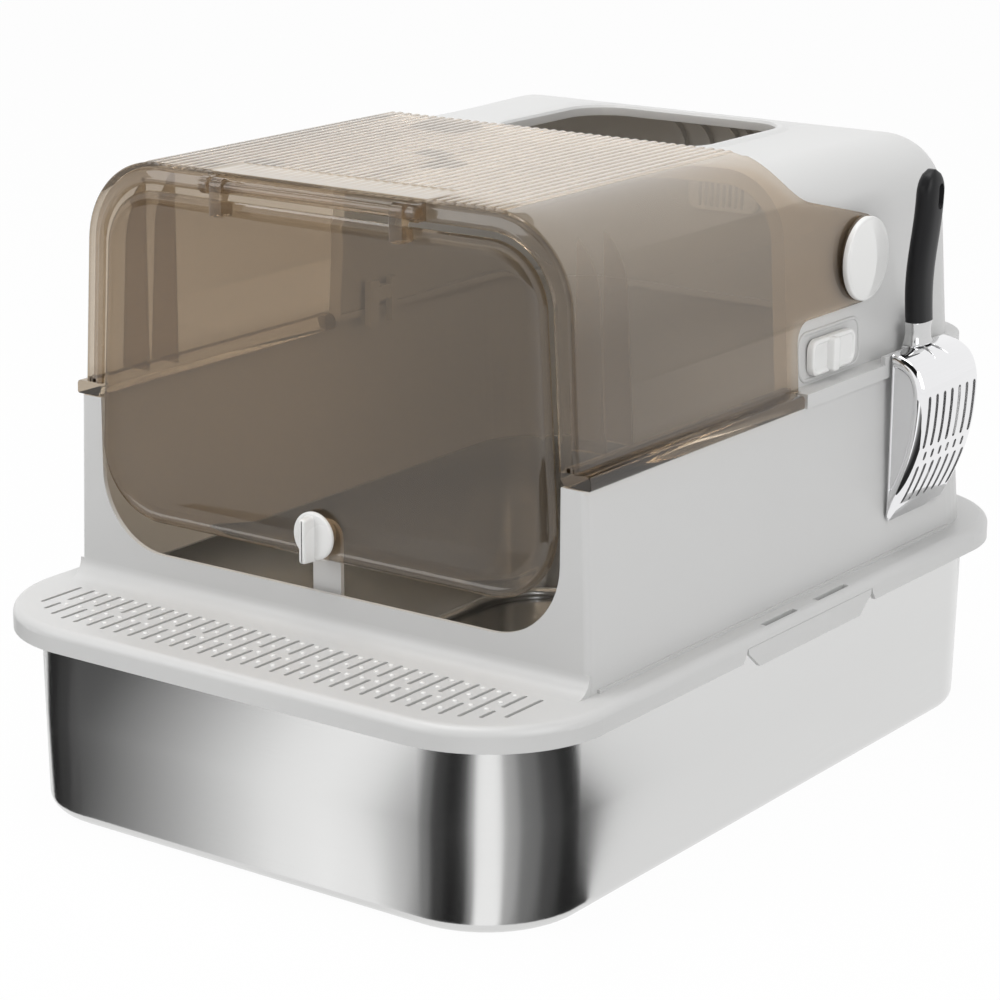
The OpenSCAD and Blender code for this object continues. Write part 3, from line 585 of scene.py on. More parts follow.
def hood_stations():
    """Right half of the hood's section, foot to middle: point, normal and frame edge."""
    rows = []
    arm_z = NOOK_Z + NOOK_R
    heights = [LEDGE_Z, 270, NOOK_Z]
    heights += [NOOK_Z + NOOK_R * math.sin(a) for a in degrees(15, 90, 15)] + [arm_z - 0.02]
    arm = [arm_z + ARM_R * (1 - math.cos(a)) for a in degrees(0, 100, 8)]
    heights += [z for z in arm if z < TANGENT_Z] + [TANGENT_Z]
    foot_share = (LEDGE_Z - DOORWAY_Z) / (OPEN_CZ - DOORWAY_Z)
    edge_low = between(DOORWAY_HALF, OPEN_HALF, foot_share)
    for z in heights:
        t = (z - LEDGE_Z) / (TANGENT_Z - LEDGE_Z)
        edge = (between(edge_low, OPEN_HALF, t), between(LEDGE_Z, OPEN_CZ, t))
        rows.append(((hood_x(z), z), (math.cos(LEAN), math.sin(LEAN)), edge))
    ridge_angle = math.acos((RIDGE_LIMIT - HOOD_CX) / HOOD_R)
    step = math.radians(2)
    angles = [LEAN + step * k for k in range(1, int((ridge_angle - LEAN) / step) + 1)]
    x = RIDGE_LIMIT
    while x > HOOD_CX:
        angles.append(math.acos((x - HOOD_CX) / HOOD_R))
        x -= RIDGE_PITCH / 8
    for a in angles:
        t = (a - LEAN) / (math.pi / 2 - LEAN)
        b = t * math.pi / 2
        edge = (OPEN_CX + OPEN_R * math.cos(b), OPEN_CZ + OPEN_R * math.sin(b))
        point = (HOOD_CX + HOOD_R * math.cos(a), HOOD_CZ + HOOD_R * math.sin(a))
        rows.append((point, (math.cos(a), math.sin(a)), edge))
    while x > 0:
        rows.append(((x, HOOD_Z), (0, 1), (x * OPEN_CX / HOOD_CX, OPEN_TOP)))
        x -= RIDGE_PITCH / 8
    return rows


def hood_loop(point, normal, edge):
    """The hood's sheet at one station: outside, front frame with its bead, and inside."""
    x, z = point
    ridge = 0.0
    if x < RIDGE_LIMIT:
        ridge = RIDGE * abs(math.cos(math.pi * x / RIDGE_PITCH)) ** 0.8
        ridge *= smooth_step((RIDGE_LIMIT - x) / 4)
    on_strip = 1 - smooth_step((x - STRIP_HALF) / 1.5 + 0.5)
    front_ridge = ridge * (1 - on_strip)
    back = hood_back(z)
    across = (x - normal[0] - edge[0], z - normal[1] - edge[1])
    width = math.hypot(*across)

    def off_skin(rows):
        """Points from pairs of a distance outside the skin and a Y."""
        return [(x + normal[0] * d, y, z + normal[1] * d) for d, y in rows]

    def on_frame(rows):
        """Points from pairs of a distance from the frame's edge and one behind its face."""
        return [(edge[0] + across[0] * e / width, HOOD_FRONT + y, edge[1] + across[1] * e / width)
                for e, y in rows]

    loop = off_skin([
        (-2.4, back), (-0.6 + ridge, back), (ridge, back - 0.7), (ridge, STRIP_BACK + 1),
        (ridge, STRIP_BACK), (front_ridge, STRIP_BACK - 0.8), (front_ridge, HOOD_FRONT + 2),
        (front_ridge * 0.8 - 0.2, HOOD_FRONT + 0.6), (front_ridge * 0.5 - 1, HOOD_FRONT)])
    loop += on_frame([
        (width - 2.6, 0), (width - 3.6, 0.5), (width - 4.6, 0), (5, 0), (3.8, -0.8),
        (2.4, -1.1), (1, -0.8), (0.1, 0), (0, 2.2), (0.8, 3), (width - 3, 3)])
    return loop + off_skin([
        (-3.6, HOOD_FRONT + 3.2), (-HOOD_WALL, HOOD_FRONT + 4), (-HOOD_WALL, STRIP_BACK),
        (-HOOD_WALL, back - 0.6)])


def flange_part():
    """The thick foot of the clear hood, on the right, with its round inner edge."""
    low = 249.2
    high = 261.0
    r = (high - low) / 2
    cx = 171 + r
    outline = [(180.7, high), (180.7, LEDGE_Z), (188.6, LEDGE_Z), (190.4, 257.4), (191.4, 256)]
    outline += [(191.5, 250.2), (190.8, low + 0.2), (190, low)]
    outline += [(cx - r * math.sin(a), low + r - r * math.cos(a))
                for a in [math.pi * k / 10 for k in range(11)]]
    return prism_y(outline, HOOD_FRONT, 23.7)


def fin_part(y):
    """One stiffening fin inside the right side, with an arched top."""
    inner = 159.5
    gap = 3.2
    r = HOOD_R - gap
    last = math.acos((inner - HOOD_CX) / r)
    outline = [(inner, FOOT_TOP_Z), (hood_x(FOOT_TOP_Z) - gap, FOOT_TOP_Z)]
    outline += arc(HOOD_CX, HOOD_CZ, r, [between(LEAN, last, k / 12) for k in range(13)])
    return prism_y(outline, y, y + 2.5, 0.4)


def lug_part():
    """The right bracket that holds the hinge rod in front of the frame."""
    outline = [(HOOD_FRONT + 0.2, ROD_Z - 5.5)]
    outline += arc(ROD_Y, ROD_Z, ROD_HOLD_R, degrees(290, 69, -20))
    outline += [(HOOD_FRONT + 0.2, ROD_Z + 5.5)]
    return prism_x(outline, 73, 79)


def hood_skin(x, z):
    """How far a place lies under the hood's outer surface."""
    x = abs(x)
    if z < TANGENT_Z:
        return (hood_x(z) - x) * math.cos(LEAN)
    if x > HOOD_CX:
        return HOOD_R - math.hypot(x - HOOD_CX, z - HOOD_CZ)
    return HOOD_Z - z


def ridge_height(x, y, z):
    """From 0 in a groove of the ridged top to 1 on a ridge, and None off the ridges."""
    if abs(x) > RIDGE_LIMIT - 1 or hood_skin(x, z) > 0.5:
        return None
    if abs(x) < STRIP_HALF + 1 and y < STRIP_BACK:
        return None
    return abs(math.cos(math.pi * x / RIDGE_PITCH))


def hood_tint_and_shade(x, y, z):
    """How dark the hood's tint looks: painted shade along the edge of the frame, deeper tint in
    the thick foot, and painted shade on the arms and in the grooves.
    """
    if y < HOOD_FRONT + 1.5 and hood_skin(x, z) < 1.6 and z > FOOT_TOP_Z:
        return 0.9
    if z < FOOT_TOP_Z or (y > 34 and z < 372):
        return 0.5
    height = ridge_height(x, y, z)
    return 0.0 if height is None else 0.45 * (1 - height)


def hood_painted_sheen(x, y, z):
    """Painted sheen that makes the hood look pale at a low angle: on the ridges, the strip and the
    upper sides, fading out downwards.
    """
    height = ridge_height(x, y, z)
    if height is not None:
        return 0.75 * height
    if hood_skin(x, z) > 0.5:
        return 0.0
    if abs(x) < HOOD_CX + 4:
        return 0.8
    return 0.35 * smooth_step((z - 320) / 65)


def clear_hood():
    """The clear hood: a ridged sheet with frame, feet, pivot discs and lugs, and its fins."""
    right = [hood_loop(*row) for row in hood_stations()]
    left = [[(-x, y, z) for x, y, z in loop] for loop in right]
    disc = lathe_x([(KNOB_SEAT - 0.6, 26.8), (KNOB_SEAT - 0.1, 26.8), (KNOB_SEAT - 0.05, 8),
                    (KNOB_SEAT - 0.6, 8)], PIVOT_Y, PIVOT_Z)
    parts = [capped(right + left[::-1])] + both(flange_part()) + both(lug_part()) + both(disc)
    hood = make_piece("clear_hood", parts, "hood", "smoked_clear", ["front_hood"], 35)
    # The hood's painted shade and painted sheen, stored on its mesh
    paint(hood, "tint_and_shade", hood_tint_and_shade)
    paint(hood, "painted_sheen", hood_painted_sheen)
    parts = both(fin_part(HOOD_FRONT + 30)) + both(fin_part(HOOD_FRONT + 57))
    fins = make_piece("hood_fins", parts, "hood", "smoked_clear", ["front_hood"], 35)
    paint(fins, "tint_and_shade", lambda x, y, z: 0.3)


def door_ring(inset, y):
    """The door's outline drawn in by an inset, as an upright ring."""
    top_r = OPEN_R - 4 - inset
    low_r = DOOR_FOOT_R - inset
    low_cx = DOORWAY_HALF - 2 - DOOR_FOOT_R
    low_cz = DOOR_FOOT_Z + DOOR_FOOT_R
    dx = OPEN_CX - low_cx
    dz = OPEN_CZ - low_cz
    turn = math.atan2(dz, dx) - math.acos((low_r - top_r) / math.hypot(dx, dz))
    steps = [k / 24 for k in range(25)]
    right = arc(low_cx, low_cz, low_r, [between(-math.pi / 2, turn, t) for t in steps])
    right += arc(OPEN_CX, OPEN_CZ, top_r, [between(turn, math.pi / 2, t) for t in steps])
    return [(x, y, z) for x, z in right] + [(-x, y, z) for x, z in right[::-1]]


def clear_door():
    """The door: a thin sheet with a raised bead round it and two hinge ears."""
    section = [(14, 0), (6.5, 0), (5.2, -0.9), (3, -1.2), (1.2, -0.8), (0, 0.6), (0, 2)]
    section += [(0.8, 2.9), (2.6, 3), (5, 2.9), (6, 2.5), (14, 2.5)]
    rings = [door_ring(inset, DOOR_FRONT + y) for inset, y in section]
    ear = arc(ROD_Y, ROD_Z, ROD_HOLD_R, degrees(-20, 181, 20))
    ear += [(-221, 375.4), (-210.2, 375.4), (-210.2, 382), (-215, 384)]
    ears = [prism_x(ear, x - 4.5, x + 4.5) for x in (66, -66)]
    door = make_piece("clear_door", [capped(rings)] + ears, "door", "smoked_clear",
                      ["door_flap"], 35)
    # Painted shade on the door: dark lines at its edge and on the bead's outer slope, a pale bead
    # crest, and the sheet's own tint elsewhere
    rims = {0.6: 0.9, 2.0: 0.9, -0.8: 0.2, -1.2: 0.0, -0.9: 0.6, 0.0: 0.42, 2.5: 0.42}
    paint(door, "tint_and_shade", lambda x, y, z: rims.get(round(y - DOOR_FRONT, 1), 0.3))


# Steps round the rear hood's rings: side, corner, back, and the line along the front
SIDE_STEPS = 56
CORNER_STEPS = 14
BACK_STEPS = 30
FRONT_STEPS = 31


def seat_depth(y, z):
    """How far the clear hood's seat is let in at a place on the side, with a soft edge."""
    r = ARM_R + 20
    low = max(y - 119, z - PIVOT_Z)
    arm = math.hypot(y - PIVOT_Y, z - PIVOT_Z) - r
    mid = max(y - PIVOT_Y, z - PIVOT_Z - r)
    high = y - 44
    return SEAT_IN * smooth_step((70 - min(low, arm, mid, high)) / 78)


def half_plan(half, front, rear, r):
    """Right half of a U in plan: side, corner and back, up to the middle."""
    points = [(half, between(front, rear - r, k / SIDE_STEPS)) for k in range(SIDE_STEPS)]
    points += arc(half - r, rear - r, r, quarter(CORNER_STEPS))
    return points + [(between(half - r, 0, k / BACK_STEPS), rear) for k in range(1, BACK_STEPS)]


def u_ring(half, rear, r, z):
    """A level U from the right front corner round the rear to the left front corner."""
    points = []
    for x, y in half_plan(half, REAR_FRONT, rear, r):
        points.append((max(0, x - seat_depth(y, z) * smooth_step((x - 60) / 40)), y, z))
    return points + [(0, rear, z)] + [(-x, y, z) for x, y, z in points[::-1]]


def opening_ring(grow, z):
    """The top opening's outline, its points in step with the U rings and the front line."""
    half = 78 + grow
    y0 = 64 - grow
    y1 = 192 + grow
    r = 28 + grow
    right = half_plan(half, y0 + r, y1, r)
    ring = [(x, y, z) for x, y in right] + [(0, y1, z)] + [(-x, y, z) for x, y in right[::-1]]
    corner = math.pi / 2 * r
    length = 2 * corner + 2 * (half - r)
    for k in range(1, FRONT_STEPS + 1):
        s = length * k / (FRONT_STEPS + 1)
        if s < corner:
            a = math.pi + s / r
            ring.append((-(half - r) + r * math.cos(a), y0 + r + r * math.sin(a), z))
        elif s < length - corner:
            ring.append((-(half - r) + s - corner, y0, z))
        else:
            a = 1.5 * math.pi + (s - length + corner) / r
            ring.append((half - r + r * math.cos(a), y0 + r + r * math.sin(a), z))
    return ring


def rear_hood_surface():
    """The rear hood's outer surface: walls, round top edge, top and rolled opening."""
    half_top = hood_x(REAR_EDGE_Z)
    rings = []
    for k in range(24):
        t = k / 23
        rings.append(u_ring(between(HOOD_HALF, half_top, t), between(REAR_FOOT_Y, REAR_Y, t),
                            REAR_R, between(LEDGE_Z, REAR_EDGE_Z, t)))
    for a in quarter(15, 1):
        d = REAR_R * (1 - math.cos(a))
        rings.append(u_ring(half_top - d, REAR_Y - d, max(0.6, REAR_R * math.cos(a)),
                            REAR_EDGE_Z + REAR_R * math.sin(a)))
    n = len(rings[0])
    verts = [p for ring in rings for p in ring]
    faces = []
    for k in range(len(rings) - 1):
        for i in range(n - 1):
            faces.append((k * n + i, k * n + i + 1, (k + 1) * n + i + 1, (k + 1) * n + i))
    top = REAR_EDGE_Z + REAR_R
    last = rings[-1]
    left_x = last[-1][0]
    outer = last + [(between(left_x, -left_x, k / (FRONT_STEPS + 1)), REAR_FRONT, top)
                    for k in range(1, FRONT_STEPS + 1)]
    lips = [opening_ring(grow, top + rise) for grow, rise in (
        (9, 0), (8, 0.3), (6, 1.7), (3.6, 2.3), (1.3, 1.7), (0.2, 0), (0.3, -2), (1.4, -5.5))]
    half_way = [tuple(between(a, b, 0.5) for a, b in zip(p, q)) for p, q in zip(outer, lips[0])]
    return merge([(verts, faces), loft([outer, half_way] + lips)])


def moulded_rear_hood():
    """The rear hood with the bores of its knobs and locks, and the slotted vent panel."""
    hood = make_piece("moulded_rear_hood", [rear_hood_surface()], "frame", "grey_plastic",
                      ["rear_hood"])
    highest = max(hood.data.polygons, key=lambda f: f.center.z)
    if highest.normal.z < 0:
        hood.data.flip_normals()
    thick = hood.modifiers.new("thick", "SOLIDIFY")
    thick.thickness = 2.5 * MM
    thick.offset = -1
    thick.use_even_offset = True
    bake(hood)
    slots = []
    for k in range(8):
        x = -21.2 + 4.85 * k
        outline = rounded_outline(x - 1.3, x + 1.3, 320, 345, 1.29, 4)
        slots.append(prism_y(outline, 232, 256, 0))
    panel = prism_y(rounded_outline(-32, 25, 317, 348, 8), 239.5, 245.8, 1.2)
    vent = make_piece("vent_panel", [panel], "frame", "grey_plastic", ["rear_hood"])
    # Painted light: the vent panel takes the paler white plastic in place of the hood's grey, so
    # that it looks more brightly lit
    vent.data.materials[0] = materials["white_plastic"]
    cut(vent, merge(slots))
    split_sharp(vent, 40)
    bore = lathe_x([(150, 7.2), (200, 7.2)], PIVOT_Y, PIVOT_Z, 48)
    stem = prism_x(rounded_outline(62.6, 87.4, 263.5, 273.3, 0.5, 2), 165, 195, 0)
    cut(hood, merge(slots + both(bore) + both(stem)))
    shade_smooth(hood)
    split_sharp(hood, 35)


def rear_hood_trim():
    """The rear hood's front edge strip and the ribs inside its rear wall."""
    edge = []
    for k in range(9):
        z = between(LEDGE_Z, REAR_EDGE_Z, k / 8)
        edge.append((hood_x(z) - SEAT_IN, z, 1, 0))
    for a in quarter(12, 1):
        x = hood_x(REAR_EDGE_Z) - SEAT_IN - REAR_R * (1 - math.cos(a))
        edge.append((x, REAR_EDGE_Z + REAR_R * math.sin(a), math.cos(a), math.sin(a)))
    edge += [(-x, z, -nx, nz) for x, z, nx, nz in edge[::-1]]
    section = ((0.4, 24.1), (9, 24.1), (9.6, 24.8), (9, 26.4), (0.4, 26.4))
    rings = []
    for x, z, nx, nz in edge:
        rings.append([(x - nx * d, y, z - nz * d) for d, y in section])
    parts = [capped(rings)]
    turns = degrees(0, 76, 15)
    rib_y = REAR_Y - REAR_R
    rib = arc(rib_y, REAR_EDGE_Z, 35.5, turns) + arc(rib_y, REAR_EDGE_Z, 40, turns[::-1])
    for x in (-33, -12, 11, 23):
        parts.append(prism_x(rib, x - 1, x + 1, 0.3))
    make_piece("rear_hood_trim", parts, "frame", "grey_plastic", ["rear_hood"], 45)


def door_knob():
    """The door knob: a thin disc on a hub, with an upright grip that runs on as a short tail."""
    low, high = in_mm(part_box("door_knob"))
    y0 = low[1]
    cz = 192.0
    r = 14.6
    profile = [(y0 + 7.9, 6), (y0 + 7.4, r - 1.6), (y0 + 7.7, r - 0.6), (y0 + 8.4, r)]
    profile += [(y0 + 9.6, r), (y0 + 10.2, r - 0.8), (y0 + 10.4, 9), (y0 + 12.9, 9)]
    profile += [(y0 + 12.9, 4.5), (high[1], 4.5)]
    turned, faces = lathe_x(profile, 0, cz)
    disc = [(y, x, z) for x, y, z in turned], faces
    rings = []
    for dy, grow in ((9, 0.8), (2, 0.1), (0.8, -0.2), (0.2, -0.7), (0, -1.4)):
        outline = rounded_outline(-4.7 - grow, 0.7 + grow,
                                  cz - 15.6 - grow * 0.3, cz + 11.5 + grow, 1.6)
        rings.append([(x, y0 + dy, z) for x, z in outline])
    make_piece("turned_knob", [disc, capped(rings)], "door_latch", "white_plastic",
               ["door_knob"], 40)


def side_knob(side):
    """A side knob: a rim and two facets that meet in an upright bowed ridge."""
    back = in_mm(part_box("side_knob_right"))[0][0]
    seat = KNOB_SEAT + 0.2
    rim = seat + 4
    face_r = 24.3
    facet_r = face_r + 0.1
    bow = 5.0
    profile = [(back, 7), (seat, 7), (seat, 26), (seat + 0.5, KNOB_R), (rim - 1.3, KNOB_R)]
    profile += [(rim - 0.5, 26.1), (rim - 0.1, 25.2), (rim - 0.1, 24.6)]
    rings = [circle_x(x, r, PIVOT_Y, PIVOT_Z) for x, r in profile]
    for step in range(13):
        ring = []
        for x, y, z in circle_x(rim, face_r * (1 - step / 12) + 0.02, 0, 0):
            reach = math.sqrt(max(0.01, facet_r ** 2 - z * z))
            crest = bow * (1 - (z / facet_r) ** 2)
            height = crest * (1 - (math.hypot(y, 0.8) - 0.8) / reach)
            ring.append((x + height, PIVOT_Y + y, PIVOT_Z + z))
        rings.append(ring)
    part = capped(rings)
    if side == "left":
        part = mirrored(part)
    make_piece("knob_" + side, [part], side + "_knob", "white_plastic", ["side_knob_" + side], 40)


def lock_plate(side):
    """A slide lock: a plate with a raised border, a thumb bar across it and its stem."""
    x0 = hood_x(274.9) - SEAT_IN + 1
    y0 = 47.5
    y1 = 100.8
    z0 = 262.8
    z1 = 285.6
    plate = []
    for dx, inset in ((0, 0), (3.4, 0), (4.2, 0.4), (4.5, 1.1), (4.5, 2.2), (4.2, 2.7),
                      (3.6, 3.1), (3.4, 3.7)):
        outline = rounded_outline(y0 + inset, y1 - inset, z0 + inset, z1 - inset, 7 - inset * 0.7)
        plate.append([(x0 + dx, y, z) for y, z in outline])
    bar = []
    for dx, inset in ((3, 0), (7.4, 0.2), (8.1, 0.6), (8.4, 1.4)):
        outline = rounded_outline(66.6 + inset, 75.1 - inset,
                                  z0 + 0.5 + inset, z1 - 0.5 - inset, 2.4)
        bar.append([(x0 + dx, y, z) for y, z in outline])
    stem = prism_x(rounded_outline(63, 77, 263.9, 272.9, 1, 3), x0 - 8, x0 + 0.5, 0.2)
    part = merge([capped(plate), capped(bar), stem])
    if side == "left":
        part = mirrored(part)
    make_piece("lock_" + side, [part], side + "_lock", "white_plastic", ["slide_lock_" + side], 50)


def side_bead(path, r):
    """A low half-round bead on a side, along a closed path of points."""
    flat = 0.6
    rings = []
    for k, (x, y, z) in enumerate(path):
        before = path[k - 1]
        after = path[(k + 1) % len(path)]
        along = Vector((0, after[1] - before[1], after[2] - before[2])).normalized()
        across = Vector((0, -along.z, along.y))
        ring = []
        for i in range(10):
            a = 2 * math.pi * i / 10
            d = across * (r * math.cos(a))
            ring.append((x + r * flat * math.sin(a), y + d.y, z + d.z))
        rings.append(ring)
    return loft(rings + [rings[0]])


def lock_guides():
    """A faint raised frame round each slide lock."""
    outline = rounded_outline(39.6, 113.6, 260.4, 289.6, 8)
    bead = side_bead([(hood_x(z) - SEAT_IN + 0.1, y, z) for y, z in outline], 1.3)
    make_piece("lock_guides", both(bead), "frame", "grey_plastic")


def step_dots():
    """Small raised dots between the slots of the front step."""
    pitch = 10.9
    step_z = 131
    profile = ((1.7, -0.1), (1.65, 0.3), (1.2, 0.75), (0.5, 0.95))
    turns = [math.pi * k / 5 for k in range(10)]
    parts = []
    for column in range(-15, 15):
        x = (column + 0.5) * pitch
        for y in (-232.5, -246.0, -259.5, -273.0):
            if math.hypot(max(0, abs(x) - 130), max(0, -220 - y)) <= 55:
                parts.append(capped([[(px, py, step_z + h) for px, py in arc(x, y, r, turns)]
                                     for r, h in profile]))
    make_piece("step_dots", parts, "frame", "white_plastic")


def scoop_handle():
    """The black grip, softly curved with a hole at the top, and the flared collar under it."""
    low, high = in_mm(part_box("scoop_grip"))
    z0 = low[2]
    cy = (low[1] + high[1]) / 2
    base_x = low[0] + 7
    length = high[2] - z0
    rings = []
    for k in range(33):
        t = k / 32
        cx = base_x + 4.5 * t * t - 1.2 * math.sin(2 * math.pi * t)
        swell = 0.97 + 0.03 * math.sin(math.pi * t)
        dome = math.sqrt(max(0.02, 1 - max(0, (t - 0.85) / 0.15) ** 2))
        rings.append(oval_ring(cx, cy, z0 + length * t,
                               6.9 * swell * (0.3 + 0.7 * dome), 12 * swell * dome))
    grip = make_piece("curved_grip", [capped(rings)], "scoop", "black_grip", ["scoop_grip"])
    grip.visible_shadow = False
    grip.visible_diffuse = False
    hole = rounded_outline(cy - 1, cy + 6.4, z0 + length * 0.74, z0 + length * 0.91, 3.69)
    cut(grip, prism_x(hole, base_x - 20, base_x + 30, 0))
    shade_smooth(grip)
    split_sharp(grip, 40)
    low, high = in_mm(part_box("scoop_collar"))
    cx = (low[0] + high[0]) / 2
    rings = [oval_ring(cx, cy, between(low[2], high[2], t), hx, hy, 3.2) for t, hx, hy in (
        (0, 7.2, 11.6), (0.06, 7.4, 11.8), (0.2, 6.6, 10.9), (0.6, 6.1, 10.3), (0.92, 6.5, 11),
        (1, 6.3, 10.8))]
    make_piece("flared_collar", [capped(rings)], "scoop", "collar_plastic", ["scoop_collar"], 40)


# Measures of the scoop, in millimetres
blade_low, blade_high = in_mm(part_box("scoop_blade"))
SCOOP_BACK = blade_high[0] - 25
SCOOP_MID = (blade_low[1] + blade_high[1]) / 2
SCOOP_TOP = 264.6
SCOOP_DROP = 110
HEM = 0.35


def scoop_section(inset):
    """The scoop's side view drawn in by an inset: over the shoulder, down, and back up."""
    hem = inset * HEM
    curve = [(0, 0), (10, -1.6), (19.5, -7.5), (24.6, -19), (25.2, -32), (22.8, -58), (15, -84)]
    curve.append((1.5, -SCOOP_DROP))
    for turn in range(3):
        finer = [curve[0]]
        for p, q in zip(curve, curve[1:]):
            finer += [(between(p[0], q[0], t), between(p[1], q[1], t)) for t in (0.25, 0.75)]
        curve = finer + [curve[-1]]
    moved = []
    for k, (x, z) in enumerate(curve):
        before = curve[max(0, k - 1)]
        after = curve[min(len(curve) - 1, k + 1)]
        dx = after[0] - before[0]
        dz = after[1] - before[1]
        size = math.hypot(dx, dz)
        moved.append((x + dz / size * inset, z - dx / size * inset))
    tip = max(k for k, (x, z) in enumerate(moved) if x >= hem)
    ring = [(max(x, hem), z) for x, z in moved[:tip + 1]]
    ring += [(hem, moved[tip][1])] * (len(moved) - tip - 1)
    ring += [(hem, between(moved[tip][1], moved[0][1], k / 12)) for k in range(1, 12)]
    return [(SCOOP_BACK + x, SCOOP_TOP + z) for x, z in ring]


def scoop_bowl():
    """The scoop's bowl with rounded rims, a hollow and rows of slots."""
    y0 = blade_low[1]
    y1 = blade_high[1]
    rim = [(1, 9), (1, 8), (0.5, 7.4), (0, 6.7), (0, 5.8), (0.3, 4.1), (0.9, 2.7), (1.9, 1.4)]
    rim += [(3.4, 0.5), (5.4, 0)]
    rings = [[(x, y0 + dy, z) for x, z in scoop_section(inset)] for dy, inset in rim]
    rings += [[(x, y1 - dy, z) for x, z in scoop_section(inset)] for dy, inset in rim[::-1]]
    bowl = make_piece("scoop_bowl", [capped(rings)], "scoop", "scoop_chrome", ["scoop_blade"])
    hollow = []
    for y, inset in ((y0 + 2.6, 2.4), (y0 + 3.2, 1.6), (y1 - 3.2, 1.6), (y1 - 2.6, 2.4)):
        open_side = SCOOP_BACK + inset * HEM + 0.01
        hollow.append([(x if x > open_side else x - 6, y, z) for x, z in scoop_section(inset)])
    cut(bowl, capped(hollow))
    slots = []
    middle = SCOOP_TOP - 66
    foot = SCOOP_TOP - SCOOP_DROP + 12
    first = SCOOP_MID - 30
    pitch = 10.0
    for k in range(7):
        y = first + k * pitch
        rows = [(y, middle + 6, SCOOP_TOP - 25.5, 3.6), (y, foot, middle - 6, 3.6)]
        if k < 6:
            rows.append((first + (k + 0.5) * pitch, middle - 3, middle + 3, 3.2))
        for y, low_z, high_z, width in rows:
            outline = rounded_outline(y - width / 2, y + width / 2, low_z, high_z,
                                      width / 2 - 0.02, 5)
            slots.append(prism_x(outline, SCOOP_BACK + 4, SCOOP_BACK + 50, 0))
    cut(bowl, merge(slots))
    shade_smooth(bowl)
    split_sharp(bowl, 45)


def scoop_hook():
    """The hook over the rail, the neck and the two raised lines on the shoulder."""
    sheet = 1.4
    back = 186.1
    front = SCOOP_BACK + 3
    hook = prism_y([(back, 259), (back + sheet, 259), (back + sheet, SCOOP_TOP - sheet),
                    (front, SCOOP_TOP - sheet), (front, SCOOP_TOP), (back + 0.8, SCOOP_TOP),
                    (back, SCOOP_TOP - 0.8)], SCOOP_MID - 12, SCOOP_MID + 12, 0.3)
    outline = rounded_outline(SCOOP_MID - 5, SCOOP_MID + 5, SCOOP_TOP - 0.5, blade_high[2], 0.8, 3)
    parts = [hook, prism_x(outline, 189.7, 192.7, 0.2)]
    r = 0.7
    turns = [math.pi * k / 4 for k in range(8)]
    for dy in (-5, 5):
        rings = []
        for t in [k / 16 for k in range(17)]:
            x = front + 14.5 * t
            y = SCOOP_MID + dy * (1 + 0.9 * t * t)
            z = SCOOP_TOP - 0.3 - 0.3 * t - 6.6 * t ** 2.2
            rings.append([(x + r * math.cos(a) * 0.3, y + r * math.cos(a), z + r * math.sin(a))
                          for a in turns])
        parts.append(capped(rings))
    make_piece("scoop_hook", parts, "scoop", "scoop_chrome", ["scoop_blade"])


steel_pan()
clear_hood()
clear_door()
moulded_rear_hood()
rear_hood_trim()
door_knob()
for hand in ("right", "left"):
    side_knob(hand)
    lock_plate(hand)
lock_guides()
step_dots()
scoop_handle()
scoop_bowl()
scoop_hook()
for node_name, node in nodes.items():
    dress(node, node_slots[node_name])
    soften(node)


# Stage

def stage_floor():
    """A pale floor that shows white and keeps a soft shadow."""
    half = 6.0
    mesh = bpy.data.meshes.new("floor")
    corners = [(-half, -half, 0), (half, -half, 0), (half, half, 0), (-half, half, 0)]
    mesh.from_pydata(corners, [], [(0, 1, 2, 3)])
    floor = new_object("floor", mesh)
    mat, tree = new_material("floor")
    share = add_node(tree, "ShaderNodeMath", {0: seen_share(tree), 1: 0.97}, operation="MULTIPLY")
    pale = add_node(tree, "ShaderNodeBsdfDiffuse", {"Color": (0.8, 0.8, 0.8, 1)})
    white = add_node(tree, "ShaderNodeEmission")
    finish_material(tree, mix_shaders(tree, share.outputs[0], pale, white))
    mesh.materials.append(mat)


def studio_world(ambient):
    """White where it is seen, and a plain soft fill elsewhere."""
    world = bpy.data.worlds.new("studio")
    bpy.context.scene.world = world
    world.use_nodes = True
    tree = world.node_tree
    tree.nodes.clear()
    fill = add_node(tree, "ShaderNodeBackground", {"Strength": ambient})
    white = add_node(tree, "ShaderNodeBackground", {"Color": (1, 1, 1, 1)})
    mix = mix_shaders(tree, seen_share(tree), fill, white)
    add_node(tree, "ShaderNodeOutputWorld", {"Surface": mix.outputs[0]})


def glow_card(name, corners, shades):
    """A flat card by its four corners that only shows in gloss, with a shade at each corner."""
    mesh = bpy.data.meshes.new(name)
    mesh.from_pydata(corners, [], [(0, 1, 2, 3)])
    layer = mesh.color_attributes.new("shade", "FLOAT_COLOR", "POINT")
    for item, shade in zip(layer.data, shades):
        item.color = (shade, shade, shade, 1)
    mat, tree = new_material(name)
    colour = add_node(tree, "ShaderNodeAttribute", attribute_name="shade").outputs["Color"]
    finish_material(tree, add_node(tree, "ShaderNodeEmission", {"Color": colour}))
    mesh.materials.append(mat)
    card = new_object(name, mesh)
    card.visible_camera = False
    card.visible_diffuse = False
    card.visible_transmission = False
    card.visible_volume_scatter = False
    card.visible_shadow = False


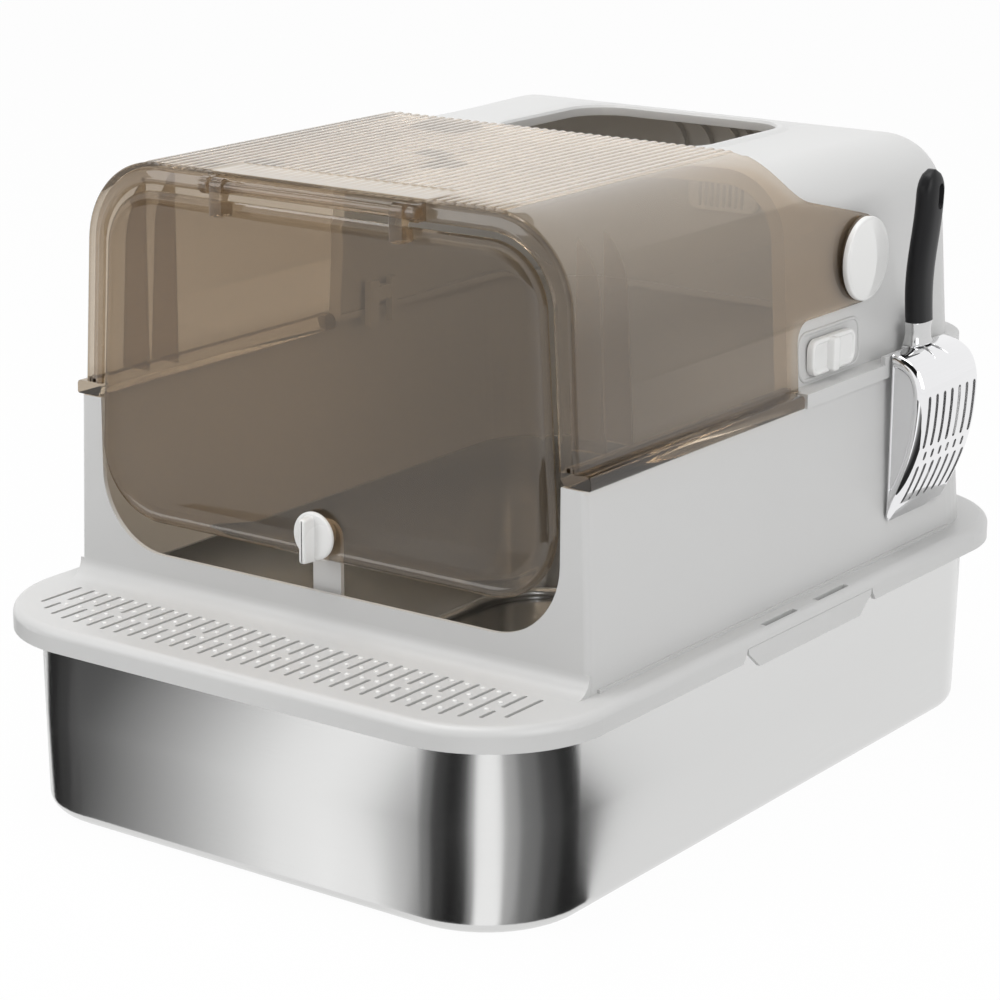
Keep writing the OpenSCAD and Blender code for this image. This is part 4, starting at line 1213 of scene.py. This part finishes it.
def pan_reflections():
    """Glowing dark and light cards just over the floor, seen only in gloss, that paint reflections
    into the pan's front wall and front corners.
    """
    wall_y = -284.5
    cx = 127.5
    cy = -217.5
    r = 67
    left = [(236, 0.02), (250, 0.05), (262, 0.1)]
    walls = [(-127, 0.16), (-95, 0.32), (-60, 0.52), (-20, 0.8), (20, 1.1), (60, 1.2)]
    walls += [(95, 1.1), (114, 0.7)]
    right = [(272, 0.25), (278, 0.06), (286, 0.02), (293, 0.04), (297, 0.3), (301, 1.2)]
    right += [(311, 1.2), (315, 0.5), (324, 0.22), (336, 0.08), (348, 0.02), (360, 0.03)]

    def corner(side_x, rows):
        """Places round a corner, with their angles and shades."""
        return [(*arc(side_x, cy, r, [math.radians(a)])[0], a, shade) for a, shade in rows]

    stations = corner(-cx, left) + [(x, wall_y, 270, shade) for x, shade in walls]
    stations += corner(cx, right) + [(cx + r, cy + 14, 360, 0.03)]
    lines = []
    for x, y, a, shade in stations:
        x *= MM
        y *= MM
        normal = Vector((math.cos(math.radians(a)), math.sin(math.radians(a)), 0))
        view = (Vector((x, y, 0.06)) - Vector(CAMERA_AT)).normalized()
        mirror = view - 2 * view.dot(normal) * normal
        flat = Vector((mirror.x, mirror.y, 0)).normalized()
        near = Vector((x, y, 0.0008)) + flat * 0.004
        lines.append((near, near + flat * 0.6, shade))
    for k, (first, second) in enumerate(zip(lines, lines[1:])):
        glow_card("pan_card_" + str(k), [first[0], second[0], second[1], first[1]],
                  [first[2], second[2], second[2], first[2]])


def shoulder_reflections():
    """Two dark glowing cards over the box, seen only in gloss, that paint a dark reflection into
    the scoop's shoulder.
    """
    line = [Vector(p) for p in ((-0.053, 0.062, 0.6), (0.23, -0.05, 0.647), (0.477, -0.1, 0.48))]
    across = Vector((0.27, 0.85, 0.45)) * 0.28
    for k, (first, second) in enumerate(zip(line, line[1:])):
        corners = [first + across * 0.4, second + across * 0.4, second - across, first - across]
        glow_card("shoulder_card_" + str(k), corners, [0.01] * 4)


def soft_lamp(name, at, size, power):
    """A square area lamp that points at the box."""
    lamp = bpy.data.lights.new(name, "AREA")
    lamp.shape = "SQUARE"
    lamp.size = size
    lamp.energy = power
    obj = new_object(name, lamp)
    obj.location = at
    obj.rotation_euler = (Vector(LAMP_AIM) - Vector(at)).to_track_quat("-Z", "Y").to_euler()


def photo_camera():
    """The camera of the photograph."""
    azimuth = math.radians(CAMERA_AZIMUTH)
    elevation = math.radians(CAMERA_ELEVATION)
    back = Vector((math.sin(azimuth) * math.cos(elevation),
                   -math.cos(azimuth) * math.cos(elevation), math.sin(elevation)))
    camera = new_object("camera", bpy.data.cameras.new("camera"))
    camera.data.sensor_width = SENSOR_MM
    camera.data.lens = LENS_MM
    camera.data.shift_x = SHIFT_X
    camera.data.shift_y = SHIFT_Y
    camera.data.clip_start = 0.05
    camera.data.clip_end = 50
    camera.location = CAMERA_AT
    camera.rotation_mode = "QUATERNION"
    camera.rotation_quaternion = (-back).to_track_quat("-Z", "Y")
    bpy.context.scene.camera = camera


photo_camera()
stage_floor()
studio_world(0.5)
soft_lamp("top_lamp", (-0.3, -0.3, 2.4), 2.0, 38)
soft_lamp("front_lamp", (-1.3, -2.2, 1.4), 1.4, 16)
soft_lamp("right_lamp", (2.4, -0.6, 1.3), 1.8, 24)
pan_reflections()
shoulder_reflections()
bpy.context.scene.view_settings.view_transform = "Standard"
